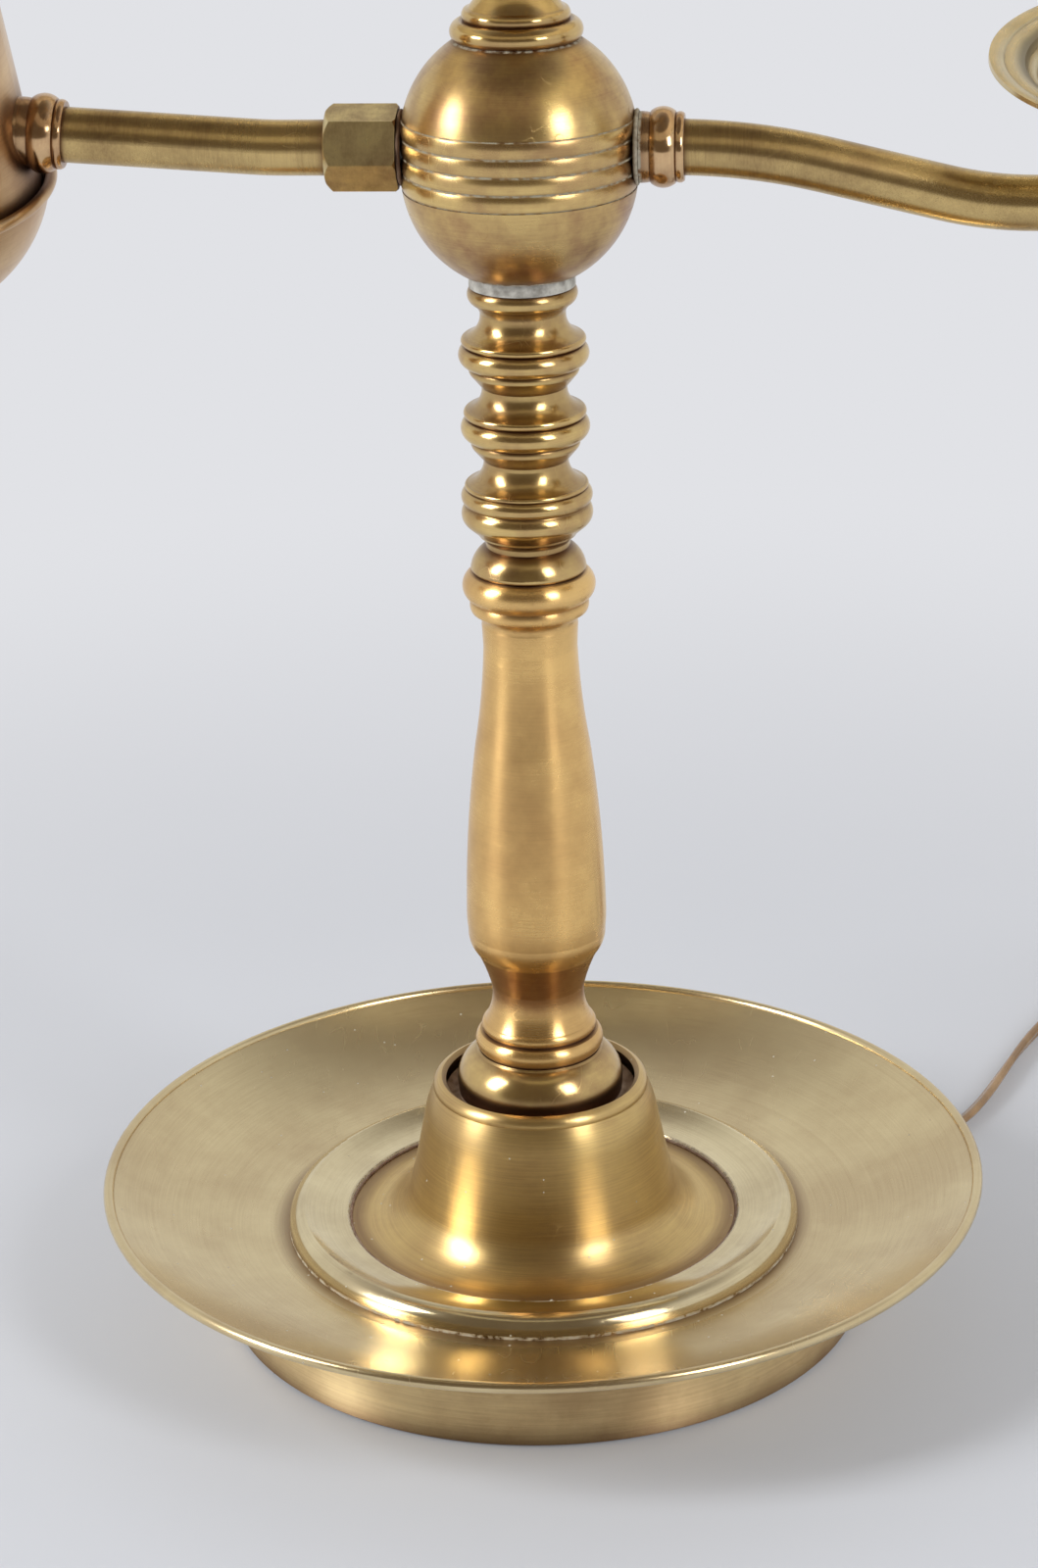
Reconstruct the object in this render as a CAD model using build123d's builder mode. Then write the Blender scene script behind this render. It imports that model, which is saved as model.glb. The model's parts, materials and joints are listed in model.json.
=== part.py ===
from build123d import *

import os
from math import atan2, cos, hypot, pi, radians, sin, sqrt, tan

# Bouillotte lamp: a brass column on a dish base, a ball hub with two arms, and a tole shade on a rod.
# Millimetres, +Z up. The origin is the middle of the felt's underside, and the arms point along X.
# Heights of a turned piece count from its own seat, unless its comment says otherwise.

# ---------------------------------------------------------------- fits
RUNNING_FIT = 0.05  # radial, between a shaft and the bore that it turns or slides in
FACE_GAP = 0.05  # between flat faces that turn on each other
ASSEMBLY_FIT = 0.15  # radial, between pieces that only thread over each other
CLEAR_GAP = 0.4  # between moving pieces that never touch

# ---------------------------------------------------------------- centre rod and its fasteners
ROD_RADIUS = 4.9
ROD_BORE_RADIUS = 3.2
ROD_TAIL = 1.0  # thread standing out of each end nut
NUT_ACROSS_FLATS = 14.0
NUT_HEIGHT = 4.5
WASHER_RADIUS = 9.5
WASHER_HEIGHT = 1.5

# ---------------------------------------------------------------- base
FELT_THICKNESS = 1.5
FELT_MARGIN = 2.5  # felt edge to the foot ring's inner wall
FOOT_RADIUS = 92.0
FOOT_WALL = 2.0
FOOT_LIFT = 0.6  # the ring stays this far off the table
FOOT_HEIGHT = 21.0
BALLAST_HEIGHT = 12.6
BALLAST_MARGIN = 2.0
DISH_RADIUS = 127.0
DISH_WALL = 1.6
DISH_FLAT_MARGIN = 4.0  # flat floor round the stepped ring, before the side rises
DISH_DEPTH = 15.3  # dish floor to the middle of the rolled rim
DISH_BOWL = 3.0  # how far the dish's side sags below a straight cone
RIM_ROLL_RADIUS = 1.5
STEP_RADIUS = 74.0
STEP_INNER_RADIUS = 56.3
STEP_HEIGHT = 6.0
BELL_HEIGHT = 45.8
BELL_WALL = 1.6
BELL_MOUTH_RADIUS = 26.8
BELL_FLANGE_GAP = 0.3  # dark line between the bell's flange and the stepped ring
SEAT_DEPTH = 7.0  # stem seat below the bell's mouth
SEAT_RADIUS = 24.0
SEAT_THICKNESS = 1.6
SPACER_RADIUS = 8.0

# ---------------------------------------------------------------- stem
STEM_FOOT_HEIGHT = 16.0
STEM_FOOT_RADIUS = 23.6
VASE_HEIGHT = 144.0
VASE_RADIUS = 19.68
VASE_NECK_RADIUS = 13.0
SPIGOT_DEPTH = 2.4
SPIGOT_RADIUS = 14.4
BALUSTER_HEIGHT = 82.4  # from the spigot's foot to the top bead
BALUSTER_NECK = 11.55
STEM_WASHER_RADIUS = 14.3
STEM_WASHER_HEIGHT = 3.6

# ---------------------------------------------------------------- ball hub
BALL_RADIUS = 31.4
BALL_STRAIGHT = 8.3  # the two half balls stand this far apart
BALL_WALL = 1.2
BALL_FOOT_RADIUS = 15.8
BAND_HEIGHT = 18.8
BAND_RISE = 1.1  # middle of the reeded band above the middle of the ball
BAND_WALL = 1.8
REED_COUNT = 4
REED_SWELL = 0.5
CORE_RADIUS = 12.4
CORE_FLOOR = 5.4
CORE_ABOVE_SPINDLE = 6.5
CORE_SOCKET_DEPTH = 5.0
COLLAR_SEAT_RADIUS = 16.45
COLLAR_HEIGHT = 5.2
COLLAR_SWELL = 1.7
UPPER_NECK_HEIGHT = 38.0
SHADE_ROD_RADIUS = 4.75
SHADE_ROD_LENGTH = 294.0
FINIAL_HEIGHT = 46.0
FINIAL_SOCKET = 12.0

# ---------------------------------------------------------------- arms
ARM_RISE = 2.1  # arm axis above the middle of the ball
ARM_LEAN = 10.0  # degrees that both arms' ends lean to the front at rest
ARM_REACH = 172.5  # stem axis to each arm's end axis
TUBE_RADIUS = 7.35
TUBE_WALL = 1.2
SPINDLE_RADIUS = 6.5
SPINDLE_WALL = 1.5
SPINDLE_OVERHANG = 3.0  # spindle beyond the ball at each side, inside the collar and the nut
UNION_RADIUS = 11.55  # across the nut's corners, halved
UNION_LENGTH = 19.0
UNION_CHAMFER = 1.6
UNION_BALL_CHAMFER = 0.7  # at the end that faces the ball
UNION_TURN = 11.3  # degrees
LEFT_BEND_RADIUS = 120.0
COLLAR_LENGTH = 11.8
COLLAR_RADIUS = 9.7
ARM_COLLAR_SWELL = 1.15

# ---------------------------------------------------------------- reservoir, heights from the arm axis
VESSEL_WALL = 1.2
VESSEL_FOOT = -30.0
VESSEL_WAIST = -12.0
VESSEL_WAIST_RADIUS = 43.3
VESSEL_SHOULDER = 75.0
VESSEL_SHOULDER_RADIUS = 32.4
VESSEL_MOUTH = 81.0
VESSEL_MOUTH_RADIUS = 27.0
TUBE_INTO_VESSEL = 4.9  # height of the left tube where it meets the vessel
BOWL_WALL = 1.2
BOWL_RIM = -11.0
BOWL_RIM_RADIUS = 46.0
BOWL_ROLL_RADIUS = 1.6
BOWL_BOTTOM = -45.0
BOWL_FLAT_RADIUS = 8.0
BOWL_SWELL = 9.3
BOWL_KNOB_HEIGHT = 14.0
LID_WALL = 1.2
LID_OVERHANG = 2.6
LID_RISE = 13.5
LID_CROWN_RADIUS = 9.0  # the flat cone at the lid's middle that carries its knob
LID_CROWN_RISE = 1.2
LID_SKIRT = 5.0
LID_KNOB_RADIUS = 6.5

# ---------------------------------------------------------------- burner, heights from the arm axis
TUBE_DIP = -16.0
TUBE_TOP = 10.5
DIP_RUN = 49.5  # the level run that ends under the burner
DIP_BEND_RADIUS = 95.0
BURNER_BEND_RADIUS = 25.0
SOCKET_CUP_RADIUS = 9.6
SOCKET_CUP_DEPTH = 8.0
SOCKET_CUP_ROOF = 1.5
BOBECHE_WALL = 1.2
BOBECHE_RADIUS = 50.5
BOBECHE_DEPTH = 12.0
NIPPLE_RADIUS = 4.0
NIPPLE_BORE_RADIUS = 2.8
CUP_RADIUS = 15.0
CUP_WALL = 1.2
CUP_HEIGHT = 20.0
SWITCH_BODY_RADIUS = 10.2
SWITCH_BODY_HEIGHT = 14.0
SLEEVE_RADIUS = 11.0
SLEEVE_WALL = 0.8
SLEEVE_HEIGHT = 46.0
LAMP_SOCKET_RADIUS = 9.4
LAMP_SOCKET_HEIGHT = 24.0
LAMP_SOCKET_BORE = 6.6
BULB_BASE_RADIUS = 6.2
BULB_BASE_HEIGHT = 17.0
BULB_HEIGHT = 70.0
BULB_RADIUS = 16.0
BULB_WALL = 0.7
SWITCH_SHAFT_RADIUS = 1.6
SHAFT_DEPTH = 4.0  # how far the shaft goes into the switch body
SWITCH_KNOB_RADIUS = 6.5
SWITCH_KNOB_LENGTH = 7.0

# ---------------------------------------------------------------- shade
SHADE_BOTTOM = 470.0  # height of the skirt's lower edge above the table
SHADE_HEIGHT = 115.0
SHADE_BOTTOM_RADIUS = 225.0
SHADE_TOP_RADIUS = 190.0
SHADE_WALL = 0.8
SHADE_ROLL_RADIUS = 1.8
SPIDER_ARMS = 4
SPIDER_ROD_RADIUS = 1.8
SPIDER_DROP = 5.0  # spider below the shade's upper edge
SHADE_HUB_RADIUS = 9.5
SHADE_HUB_HEIGHT = 24.0
KEY_SHANK_RADIUS = 2.0
KEY_SHANK_LENGTH = 12.0
KEY_WIDTH = 18.0
KEY_HEIGHT = 14.0
KEY_THICKNESS = 3.0

# ---------------------------------------------------------------- wiring
LEAD_RADIUS = 1.9
CORD_DIAMETER = 5.2
CORD_ANGLE = 38.0  # degrees from +X to where the cord leaves the foot ring
GROMMET_RADIUS = 4.2
GROMMET_FLANGE_RADIUS = 6.0
GROMMET_FLANGE = 1.5
GROMMET_HEIGHT = 6.9  # above the table
RELIEF_LENGTH = 20.0
COIL_CENTRE = (208.0, 228.0)
COIL_RADIUS = 29.0  # middle of the turns
COIL_TURNS_ACROSS = 4
COIL_LAYERS = 2
PLUG_LENGTH = 36.0
PLUG_SIZE = (21.0, 15.2)
BLADE_LENGTH = 16.0
BLADE_SPACING = 12.7
BLADE_SIZE = (1.5, 6.3)

# ---------------------------------------------------------------- stations worked out from the above
dish_seat = FOOT_LIFT + FOOT_HEIGHT
dish_floor = dish_seat + DISH_WALL
rim_height = dish_floor + DISH_DEPTH
rim_radius = DISH_RADIUS - RIM_ROLL_RADIUS
ballast_foot = dish_seat - BALLAST_HEIGHT
stem_seat = dish_floor + BELL_HEIGHT - SEAT_DEPTH
vase_seat = stem_seat + STEM_FOOT_HEIGHT
vase_top = vase_seat + VASE_HEIGHT
baluster_seat = vase_top - SPIGOT_DEPTH
stem_top = baluster_seat + BALUSTER_HEIGHT
hub_seat = stem_top + STEM_WASHER_HEIGHT + FACE_GAP
ball_foot_drop = sqrt(BALL_RADIUS**2 - BALL_FOOT_RADIUS**2)
ball_middle = hub_seat + ball_foot_drop + BALL_STRAIGHT / 2
ball_top_centre = ball_middle + BALL_STRAIGHT / 2
arm_height = ball_middle + ARM_RISE
spindle_bore = SPINDLE_RADIUS + RUNNING_FIT
core_top = arm_height + spindle_bore + CORE_ABOVE_SPINDLE
rod_head_seat = hub_seat + CORE_FLOOR + FACE_GAP
rod_top = rod_head_seat + WASHER_HEIGHT + NUT_HEIGHT + ROD_TAIL
rod_foot_face = ballast_foot + WASHER_HEIGHT + NUT_HEIGHT + ROD_TAIL  # roof of the ballast's nut recess
rod_foot = rod_foot_face - WASHER_HEIGHT - NUT_HEIGHT - ROD_TAIL
stem_bore = ROD_RADIUS + ASSEMBLY_FIT
shade_rod_foot = core_top - CORE_SOCKET_DEPTH
shade_rod_top = shade_rod_foot + SHADE_ROD_LENGTH
shade_rod_bore = SHADE_ROD_RADIUS + ASSEMBLY_FIT
spider_height = SHADE_BOTTOM + SHADE_HEIGHT - SPIDER_DROP
arm_start = BALL_RADIUS + CLEAR_GAP  # where the collar and the union nut face the ball
spindle_end = arm_start + SPINDLE_OVERHANG
tube_bore = TUBE_RADIUS - TUBE_WALL
dip_start = 0.35 * ARM_REACH  # the S bend's first corner, from the stem axis
dip_end = ARM_REACH - DIP_RUN
dip_turn = atan2(-TUBE_DIP, dip_end - dip_start)
dip_start_radius = 0.8 * (dip_start - spindle_end) / tan(dip_turn / 2)
dip_bends = [dip_start_radius, DIP_BEND_RADIUS, BURNER_BEND_RADIUS]

# Frames: upright ones on the stem axis, and leaning ones for all that turns with the arms.
lean = radians(ARM_LEAN)
yoke = Plane(origin=(0, 0, arm_height), x_dir=(1, 0, 0), z_dir=(0, -sin(lean), cos(lean)))
reservoir = Plane(yoke.from_local_coords((-ARM_REACH, 0, 0)), x_dir=yoke.x_dir, z_dir=yoke.z_dir)
burner = Plane(yoke.from_local_coords((ARM_REACH, 0, 0)), x_dir=yoke.x_dir, z_dir=yoke.z_dir)

os.makedirs("parts", exist_ok=True)


def profile(chain):
    """Draws a chain of (radius, height, bulge) points. Each point's bulge is how far the stretch that
    leads to it swells to the right of travel, which is outwards on the way up."""
    for (start_radius, start_height, *_), (radius, height, *bulge) in zip(chain, chain[1:]):
        if bulge and bulge[0]:
            SagittaArc((start_radius, start_height), (radius, height), -bulge[0])
        else:
            Line((start_radius, start_height), (radius, height))


def closed(chain):
    """The chain with a straight stretch back to its first point."""
    return [*chain, chain[0][:2]]


def raised(chain, base):
    """The chain with its heights counted from base."""
    return [(radius, base + height, *bulge) for radius, height, *bulge in chain]


def ring(radius, low, high, swell):
    """A half-round moulding between two heights of a chain that runs upwards."""
    return [(radius, low), (radius, high, swell)]


def sheet(chain, wall):
    """Closed outline of a spun sheet: the chain, and the same chain moved left of travel by the wall."""
    inner = []
    for i, (radius, height, *_) in enumerate(chain):
        sides = [(chain[max(i - 1, 0)], chain[i])] if i else []
        sides += [(chain[i], chain[i + 1])] if i + 1 < len(chain) else []
        normals = []
        for (r0, h0, *_), (r1, h1, *_) in sides:
            length = hypot(r1 - r0, h1 - h0)
            normals.append(((h0 - h1) / length, (r1 - r0) / length))
        across = sum(n[0] for n in normals) / len(normals)
        up = sum(n[1] for n in normals) / len(normals)
        share = wall / (across**2 + up**2)
        if radius:
            inner.append((radius + across * share, height + up * share))
        else:
            inner.append((0, height + wall / up))  # a point on the axis stays on it
    bulges = [point[2] if len(point) > 2 else 0.0 for point in chain]
    way_back = [(*inner[i], -bulges[i + 1]) for i in reversed(range(len(chain) - 1))]
    return closed([*chain, inner[-1], *way_back])


def section(frame):
    """The half-section plane of a turned piece: radius across, height along the frame's axis."""
    return Plane(origin=frame.origin, x_dir=frame.x_dir, z_dir=-frame.y_dir)


def axis_of(frame):
    return Axis(frame.origin, frame.z_dir)


def rise(radius, start, end):
    """How far an arc of that radius between two points stands off its chord."""
    chord = hypot(end[0] - start[0], end[1] - start[1])
    return radius - sqrt(radius**2 - (chord / 2) ** 2)


def across_sphere(radius, drop):
    """The radius of a sphere's section at that distance from its middle."""
    return sqrt(radius**2 - drop**2)


def save(piece, name):
    """Labels a finished piece and writes it to its own file."""
    piece.part.label = name
    export_step(piece.part, f"parts/{name}.step")


# ================================================================ base
felt_radius = FOOT_RADIUS - FOOT_WALL - FELT_MARGIN
with BuildPart() as felt_pad:
    with BuildSketch():
        Circle(felt_radius)
    extrude(amount=FELT_THICKNESS)
save(felt_pad, "felt_pad")

cord_way = Plane.XZ.rotated((0, 0, CORD_ANGLE))  # radial upright plane through the cord's exit
cord_exit_plane = Plane(
    origin=(FOOT_RADIUS * cos(radians(CORD_ANGLE)), FOOT_RADIUS * sin(radians(CORD_ANGLE)), GROMMET_HEIGHT),
    z_dir=(cos(radians(CORD_ANGLE)), sin(radians(CORD_ANGLE)), 0),
)

with BuildPart() as foot_ring:
    with BuildSketch(Plane.XY.offset(FOOT_LIFT)):
        Circle(FOOT_RADIUS)
        Circle(FOOT_RADIUS - FOOT_WALL, mode=Mode.SUBTRACT)
    extrude(amount=FOOT_HEIGHT)
    chamfer(foot_ring.edges().filter_by(GeomType.CIRCLE).sort_by(SortBy.RADIUS)[-2:], 0.4)
    with BuildSketch(cord_exit_plane.offset(FOOT_WALL)):
        Circle(GROMMET_RADIUS)
    extrude(amount=-3 * FOOT_WALL, mode=Mode.SUBTRACT)
save(foot_ring, "foot_ring")

ballast_radius = FOOT_RADIUS - FOOT_WALL - BALLAST_MARGIN
with BuildPart() as ballast:
    with BuildSketch(Plane.XY.offset(ballast_foot)):
        Circle(ballast_radius)
        Circle(stem_bore, mode=Mode.SUBTRACT)
    extrude(amount=BALLAST_HEIGHT)
    with BuildSketch(Plane.XY.offset(ballast_foot)):
        Circle(WASHER_RADIUS + 2 * ASSEMBLY_FIT)
    extrude(amount=rod_foot_face - ballast_foot, mode=Mode.SUBTRACT)
save(ballast, "ballast")

with BuildPart() as base_dish:
    with BuildSketch(Plane.XZ):
        with BuildLine():
            profile(sheet([(stem_bore, dish_seat), (STEP_RADIUS + DISH_FLAT_MARGIN, dish_seat),
                           (rim_radius, rim_height - DISH_WALL / 2, DISH_BOWL)], DISH_WALL))
        make_face()
        with Locations((rim_radius, rim_height)):
            Circle(RIM_ROLL_RADIUS)
    revolve(axis=Axis.Z)
save(base_dish, "base_dish")

step_chain = [
    (STEP_INNER_RADIUS, 0),
    (STEP_RADIUS, 0),
    (STEP_RADIUS, 0.8),
    (STEP_RADIUS - 4.6, STEP_HEIGHT, 1.4),
    (STEP_INNER_RADIUS + 0.5, STEP_HEIGHT - 3.3, -1.0),
    (STEP_INNER_RADIUS, STEP_HEIGHT - 3.9),
]
with BuildPart() as step_ring:
    with BuildSketch(Plane.XZ):
        with BuildLine():
            profile(closed(raised(step_chain, dish_floor)))
        make_face()
    revolve(axis=Axis.Z)
save(step_ring, "step_ring")

bell_outer_mouth = BELL_MOUTH_RADIUS + BELL_WALL
bell_chain = [
    (STEP_INNER_RADIUS - BELL_FLANGE_GAP, BELL_WALL),
    (bell_outer_mouth + 24.0, BELL_WALL + 0.2),
    (bell_outer_mouth + 13.4, 5.6, -1.4),
    (bell_outer_mouth + 9.7, 12.6, -0.7),
    (bell_outer_mouth + 5.2, BELL_HEIGHT - 12.0, -0.2),
    (bell_outer_mouth + 2.4, BELL_HEIGHT - 3.2, 0.3),
    (bell_outer_mouth, BELL_HEIGHT, 0.8),
]
with BuildPart() as base_bell:
    with BuildSketch(Plane.XZ):
        with BuildLine():
            profile(sheet(raised(bell_chain, dish_floor), BELL_WALL))
        make_face()
    revolve(axis=Axis.Z)
save(base_bell, "base_bell")

with BuildPart() as stem_spacer:
    with BuildSketch(Plane.XY.offset(dish_floor)):
        Circle(SPACER_RADIUS)
        Circle(stem_bore, mode=Mode.SUBTRACT)
    extrude(amount=stem_seat - SEAT_THICKNESS - dish_floor)
save(stem_spacer, "stem_spacer")

with BuildPart() as seat_disc:
    with BuildSketch(Plane.XY.offset(stem_seat - SEAT_THICKNESS)):
        Circle(SEAT_RADIUS)
        Circle(stem_bore, mode=Mode.SUBTRACT)
    extrude(amount=SEAT_THICKNESS)
save(seat_disc, "seat_disc")

# ================================================================ stem
stem_foot_chain = [
    (stem_bore, 0),
    (STEM_FOOT_RADIUS - 1.2, 0),
    (STEM_FOOT_RADIUS, 4.6, 0.3),
    (STEM_FOOT_RADIUS - 5.6, STEM_FOOT_HEIGHT - 0.6, 2.0),
    (STEM_FOOT_RADIUS - 6.2, STEM_FOOT_HEIGHT),
    (stem_bore, STEM_FOOT_HEIGHT),
]
with BuildPart() as stem_foot:
    with BuildSketch(Plane.XZ):
        with BuildLine():
            profile(closed(raised(stem_foot_chain, stem_seat)))
        make_face()
    revolve(axis=Axis.Z)
save(stem_foot, "stem_foot")

vase_chain = [
    (stem_bore, 0),
    *ring(VASE_NECK_RADIUS + 3.9, 0, 5.4, 1.3),
    *ring(VASE_NECK_RADIUS + 2.4, 5.6, 9.0, 0.9),
    (VASE_NECK_RADIUS + 0.2, 19.8, -1.0),
    (VASE_RADIUS - 2.6, 30.4, -0.3),
    (VASE_RADIUS - 0.3, 37.0, 0.7),
    (VASE_RADIUS, 44.0, 0.15),
    (VASE_RADIUS - 3.7, 93.0, 0.75),
    (VASE_NECK_RADIUS, 122.0, -0.5),
    (VASE_NECK_RADIUS + 0.3, 128.4),
    (VASE_NECK_RADIUS + 2.6, 132.4, -0.9),
    *ring(VASE_NECK_RADIUS + 3.0, 132.6, 135.7, 0.4),
    *ring(VASE_NECK_RADIUS + 3.2, 136.0, VASE_HEIGHT - 0.4, 2.1),
    (SPIGOT_RADIUS + 0.8, VASE_HEIGHT),
    (SPIGOT_RADIUS + 0.2, VASE_HEIGHT - SPIGOT_DEPTH),
    (stem_bore, VASE_HEIGHT - SPIGOT_DEPTH),
]
with BuildPart() as stem_vase:
    with BuildSketch(Plane.XZ):
        with BuildLine():
            profile(closed(raised(vase_chain, vase_seat)))
        make_face()
    revolve(axis=Axis.Z)
save(stem_vase, "stem_vase")

# The baluster: a cup on its spigot, a double torus, then two tori with a small bead below each, and the
# bead that carries the washer. A cove runs from the lip above each torus in to the next neck.
baluster_chain = [
    (stem_bore, 0),
    (SPIGOT_RADIUS, 0),
    (SPIGOT_RADIUS, SPIGOT_DEPTH),
    (BALUSTER_NECK + 3.7, SPIGOT_DEPTH + 0.1),
    (BALUSTER_NECK + 4.2, 4.1, 0.3),
    (BALUSTER_NECK, 9.6, 0.8),
    (BALUSTER_NECK, 11.0),
    (BALUSTER_NECK + 1.8, 12.8, -0.3),
    (BALUSTER_NECK + 2.1, 13.4),
    *ring(BALUSTER_NECK + 5.3, 16.2, 21.5, 1.1),
    *ring(BALUSTER_NECK + 5.2, 21.7, 26.0, 1.15),
    *ring(BALUSTER_NECK + 4.9, 26.2, 27.5, 0.4),
    (BALUSTER_NECK + 4.4, 27.6),
    (BALUSTER_NECK, 33.2, -1.0),
    (BALUSTER_NECK, 34.2),
    *ring(BALUSTER_NECK + 2.9, 37.6, 39.9, 0.4),
    *ring(BALUSTER_NECK + 4.2, 40.2, 46.1, 1.75),
    *ring(BALUSTER_NECK + 4.5, 46.3, 48.4, 0.6),
    (BALUSTER_NECK + 3.9, 48.6),
    (BALUSTER_NECK, 54.0, -1.1),
    (BALUSTER_NECK, 54.6),
    *ring(BALUSTER_NECK + 3.0, 58.2, 60.4, 0.4),
    *ring(BALUSTER_NECK + 4.4, 60.7, 66.3, 1.7),
    *ring(BALUSTER_NECK + 4.7, 66.5, 68.4, 0.6),
    (BALUSTER_NECK + 4.1, 68.6),
    (BALUSTER_NECK, 74.3, -1.1),
    (BALUSTER_NECK, 75.2),
    (BALUSTER_NECK + 1.9, 77.7, -0.3),
    *ring(BALUSTER_NECK + 2.2, 77.9, BALUSTER_HEIGHT, 1.1),
    (stem_bore, BALUSTER_HEIGHT),
]
with BuildPart() as stem_baluster:
    with BuildSketch(Plane.XZ):
        with BuildLine():
            profile(closed(raised(baluster_chain, baluster_seat)))
        make_face()
    revolve(axis=Axis.Z)
save(stem_baluster, "stem_baluster")

with BuildPart() as stem_washer:
    with BuildSketch(Plane.XY.offset(stem_top)):
        Circle(STEM_WASHER_RADIUS)
        Circle(stem_bore, mode=Mode.SUBTRACT)
    extrude(amount=STEM_WASHER_HEIGHT)
save(stem_washer, "stem_washer")

with BuildPart() as centre_rod:
    with BuildSketch(Plane.XY.offset(rod_foot)):
        Circle(ROD_RADIUS)
        Circle(ROD_BORE_RADIUS, mode=Mode.SUBTRACT)
    extrude(amount=rod_top - rod_foot)
save(centre_rod, "centre_rod")

nut_seats = [rod_foot + ROD_TAIL, rod_head_seat + WASHER_HEIGHT]
washer_seats = [rod_foot_face - WASHER_HEIGHT, rod_head_seat]
with BuildPart() as rod_nuts:
    for seat in nut_seats:
        with BuildSketch(Plane.XY.offset(seat)):
            RegularPolygon(NUT_ACROSS_FLATS / 2, 6, major_radius=False)
            Circle(stem_bore, mode=Mode.SUBTRACT)
        extrude(amount=NUT_HEIGHT)
save(rod_nuts, "rod_nuts")

with BuildPart() as rod_washers:
    for seat in washer_seats:
        with BuildSketch(Plane.XY.offset(seat)):
            Circle(WASHER_RADIUS)
            Circle(stem_bore, mode=Mode.SUBTRACT)
        extrude(amount=WASHER_HEIGHT)
save(rod_washers, "rod_washers")

# ================================================================ ball hub
with BuildPart() as hub_core:
    with BuildSketch(Plane.XY.offset(hub_seat)):
        Circle(CORE_RADIUS)
        Circle(ROD_RADIUS + RUNNING_FIT, mode=Mode.SUBTRACT)
    extrude(amount=CORE_FLOOR)
    nut_window_top = rod_top + ROD_TAIL
    with BuildSketch(Plane.XY.offset(hub_seat + CORE_FLOOR)):
        Circle(CORE_RADIUS)
        Rectangle(2 * (WASHER_RADIUS + CLEAR_GAP), 3 * CORE_RADIUS, mode=Mode.SUBTRACT)
    extrude(amount=nut_window_top - hub_seat - CORE_FLOOR)
    with BuildSketch(Plane.XY.offset(nut_window_top)):
        Circle(CORE_RADIUS)
    extrude(amount=core_top - nut_window_top)
    with BuildSketch(Plane.YZ.offset(-CORE_RADIUS)):
        with Locations((0, arm_height)):
            Circle(spindle_bore)
    extrude(amount=2 * CORE_RADIUS, mode=Mode.SUBTRACT)
    with BuildSketch(Plane.XY.offset(nut_window_top)):
        Circle(ROD_BORE_RADIUS)
    extrude(amount=arm_height - nut_window_top, mode=Mode.SUBTRACT)
    with BuildSketch(Plane.XY.offset(core_top)):
        Circle(SHADE_ROD_RADIUS)
    extrude(amount=-CORE_SOCKET_DEPTH, mode=Mode.SUBTRACT)
save(hub_core, "hub_core")

band_half = BAND_HEIGHT / 2
band_middle = ball_middle + BAND_RISE
lower_drop = band_half - BAND_RISE - BALL_STRAIGHT / 2  # from the lower half ball's middle to its edge
upper_drop = band_half + BAND_RISE - BALL_STRAIGHT / 2
inner_radius = BALL_RADIUS - BALL_WALL
lower_edge = (across_sphere(BALL_RADIUS, lower_drop), band_middle - band_half)
lower_inner_edge = (across_sphere(inner_radius, lower_drop), band_middle - band_half)
lower_foot = (BALL_FOOT_RADIUS, hub_seat)
lower_inner_foot = (across_sphere(inner_radius, ball_foot_drop - BALL_WALL), hub_seat + BALL_WALL)
with BuildPart() as ball_lower:
    with BuildSketch(Plane.XZ):
        with BuildLine():
            profile([(CORE_RADIUS, hub_seat), lower_foot,
                     (*lower_edge, rise(BALL_RADIUS, lower_foot, lower_edge)), lower_inner_edge,
                     (*lower_inner_foot, -rise(inner_radius, lower_inner_edge, lower_inner_foot)),
                     (CORE_RADIUS, hub_seat + BALL_WALL), (CORE_RADIUS, hub_seat)])
        make_face()
    revolve(axis=Axis.Z)
save(ball_lower, "ball_lower")

reed_height = BAND_HEIGHT / REED_COUNT
band_radius = BALL_RADIUS - REED_SWELL
band_chain = [(band_radius - BAND_WALL, -band_half), (band_radius, -band_half)]
for i in range(REED_COUNT):
    band_chain.append((band_radius, (i + 1) * reed_height - band_half, REED_SWELL))
band_chain.append((band_radius - BAND_WALL, band_half))
with BuildPart() as ball_band:
    with BuildSketch(Plane.XZ):
        with BuildLine():
            profile(closed(raised(band_chain, band_middle)))
        make_face()
    revolve(axis=Axis.Z)
    with BuildSketch(Plane.YZ.offset(-2 * BALL_RADIUS)):
        with Locations((0, arm_height)):
            Circle(SPINDLE_RADIUS + CLEAR_GAP)
    extrude(amount=4 * BALL_RADIUS, mode=Mode.SUBTRACT)
save(ball_band, "ball_band")

collar_seat = ball_top_centre + across_sphere(BALL_RADIUS, COLLAR_SEAT_RADIUS)
collar_plug_radius = COLLAR_SEAT_RADIUS - 2.0
upper_edge = (across_sphere(BALL_RADIUS, upper_drop), band_middle + band_half)
upper_inner_edge = (across_sphere(inner_radius, upper_drop), band_middle + band_half)
upper_hole = (collar_plug_radius, ball_top_centre + across_sphere(BALL_RADIUS, collar_plug_radius))
upper_inner_hole = (collar_plug_radius, ball_top_centre + across_sphere(inner_radius, collar_plug_radius))
with BuildPart() as ball_upper:
    with BuildSketch(Plane.XZ):
        with BuildLine():
            profile([upper_inner_edge, upper_edge, (*upper_hole, rise(BALL_RADIUS, upper_edge, upper_hole)),
                     upper_inner_hole,
                     (*upper_inner_edge, -rise(inner_radius, upper_inner_edge, upper_inner_hole))])
        make_face()
    revolve(axis=Axis.Z)
save(ball_upper, "ball_upper")

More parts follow.
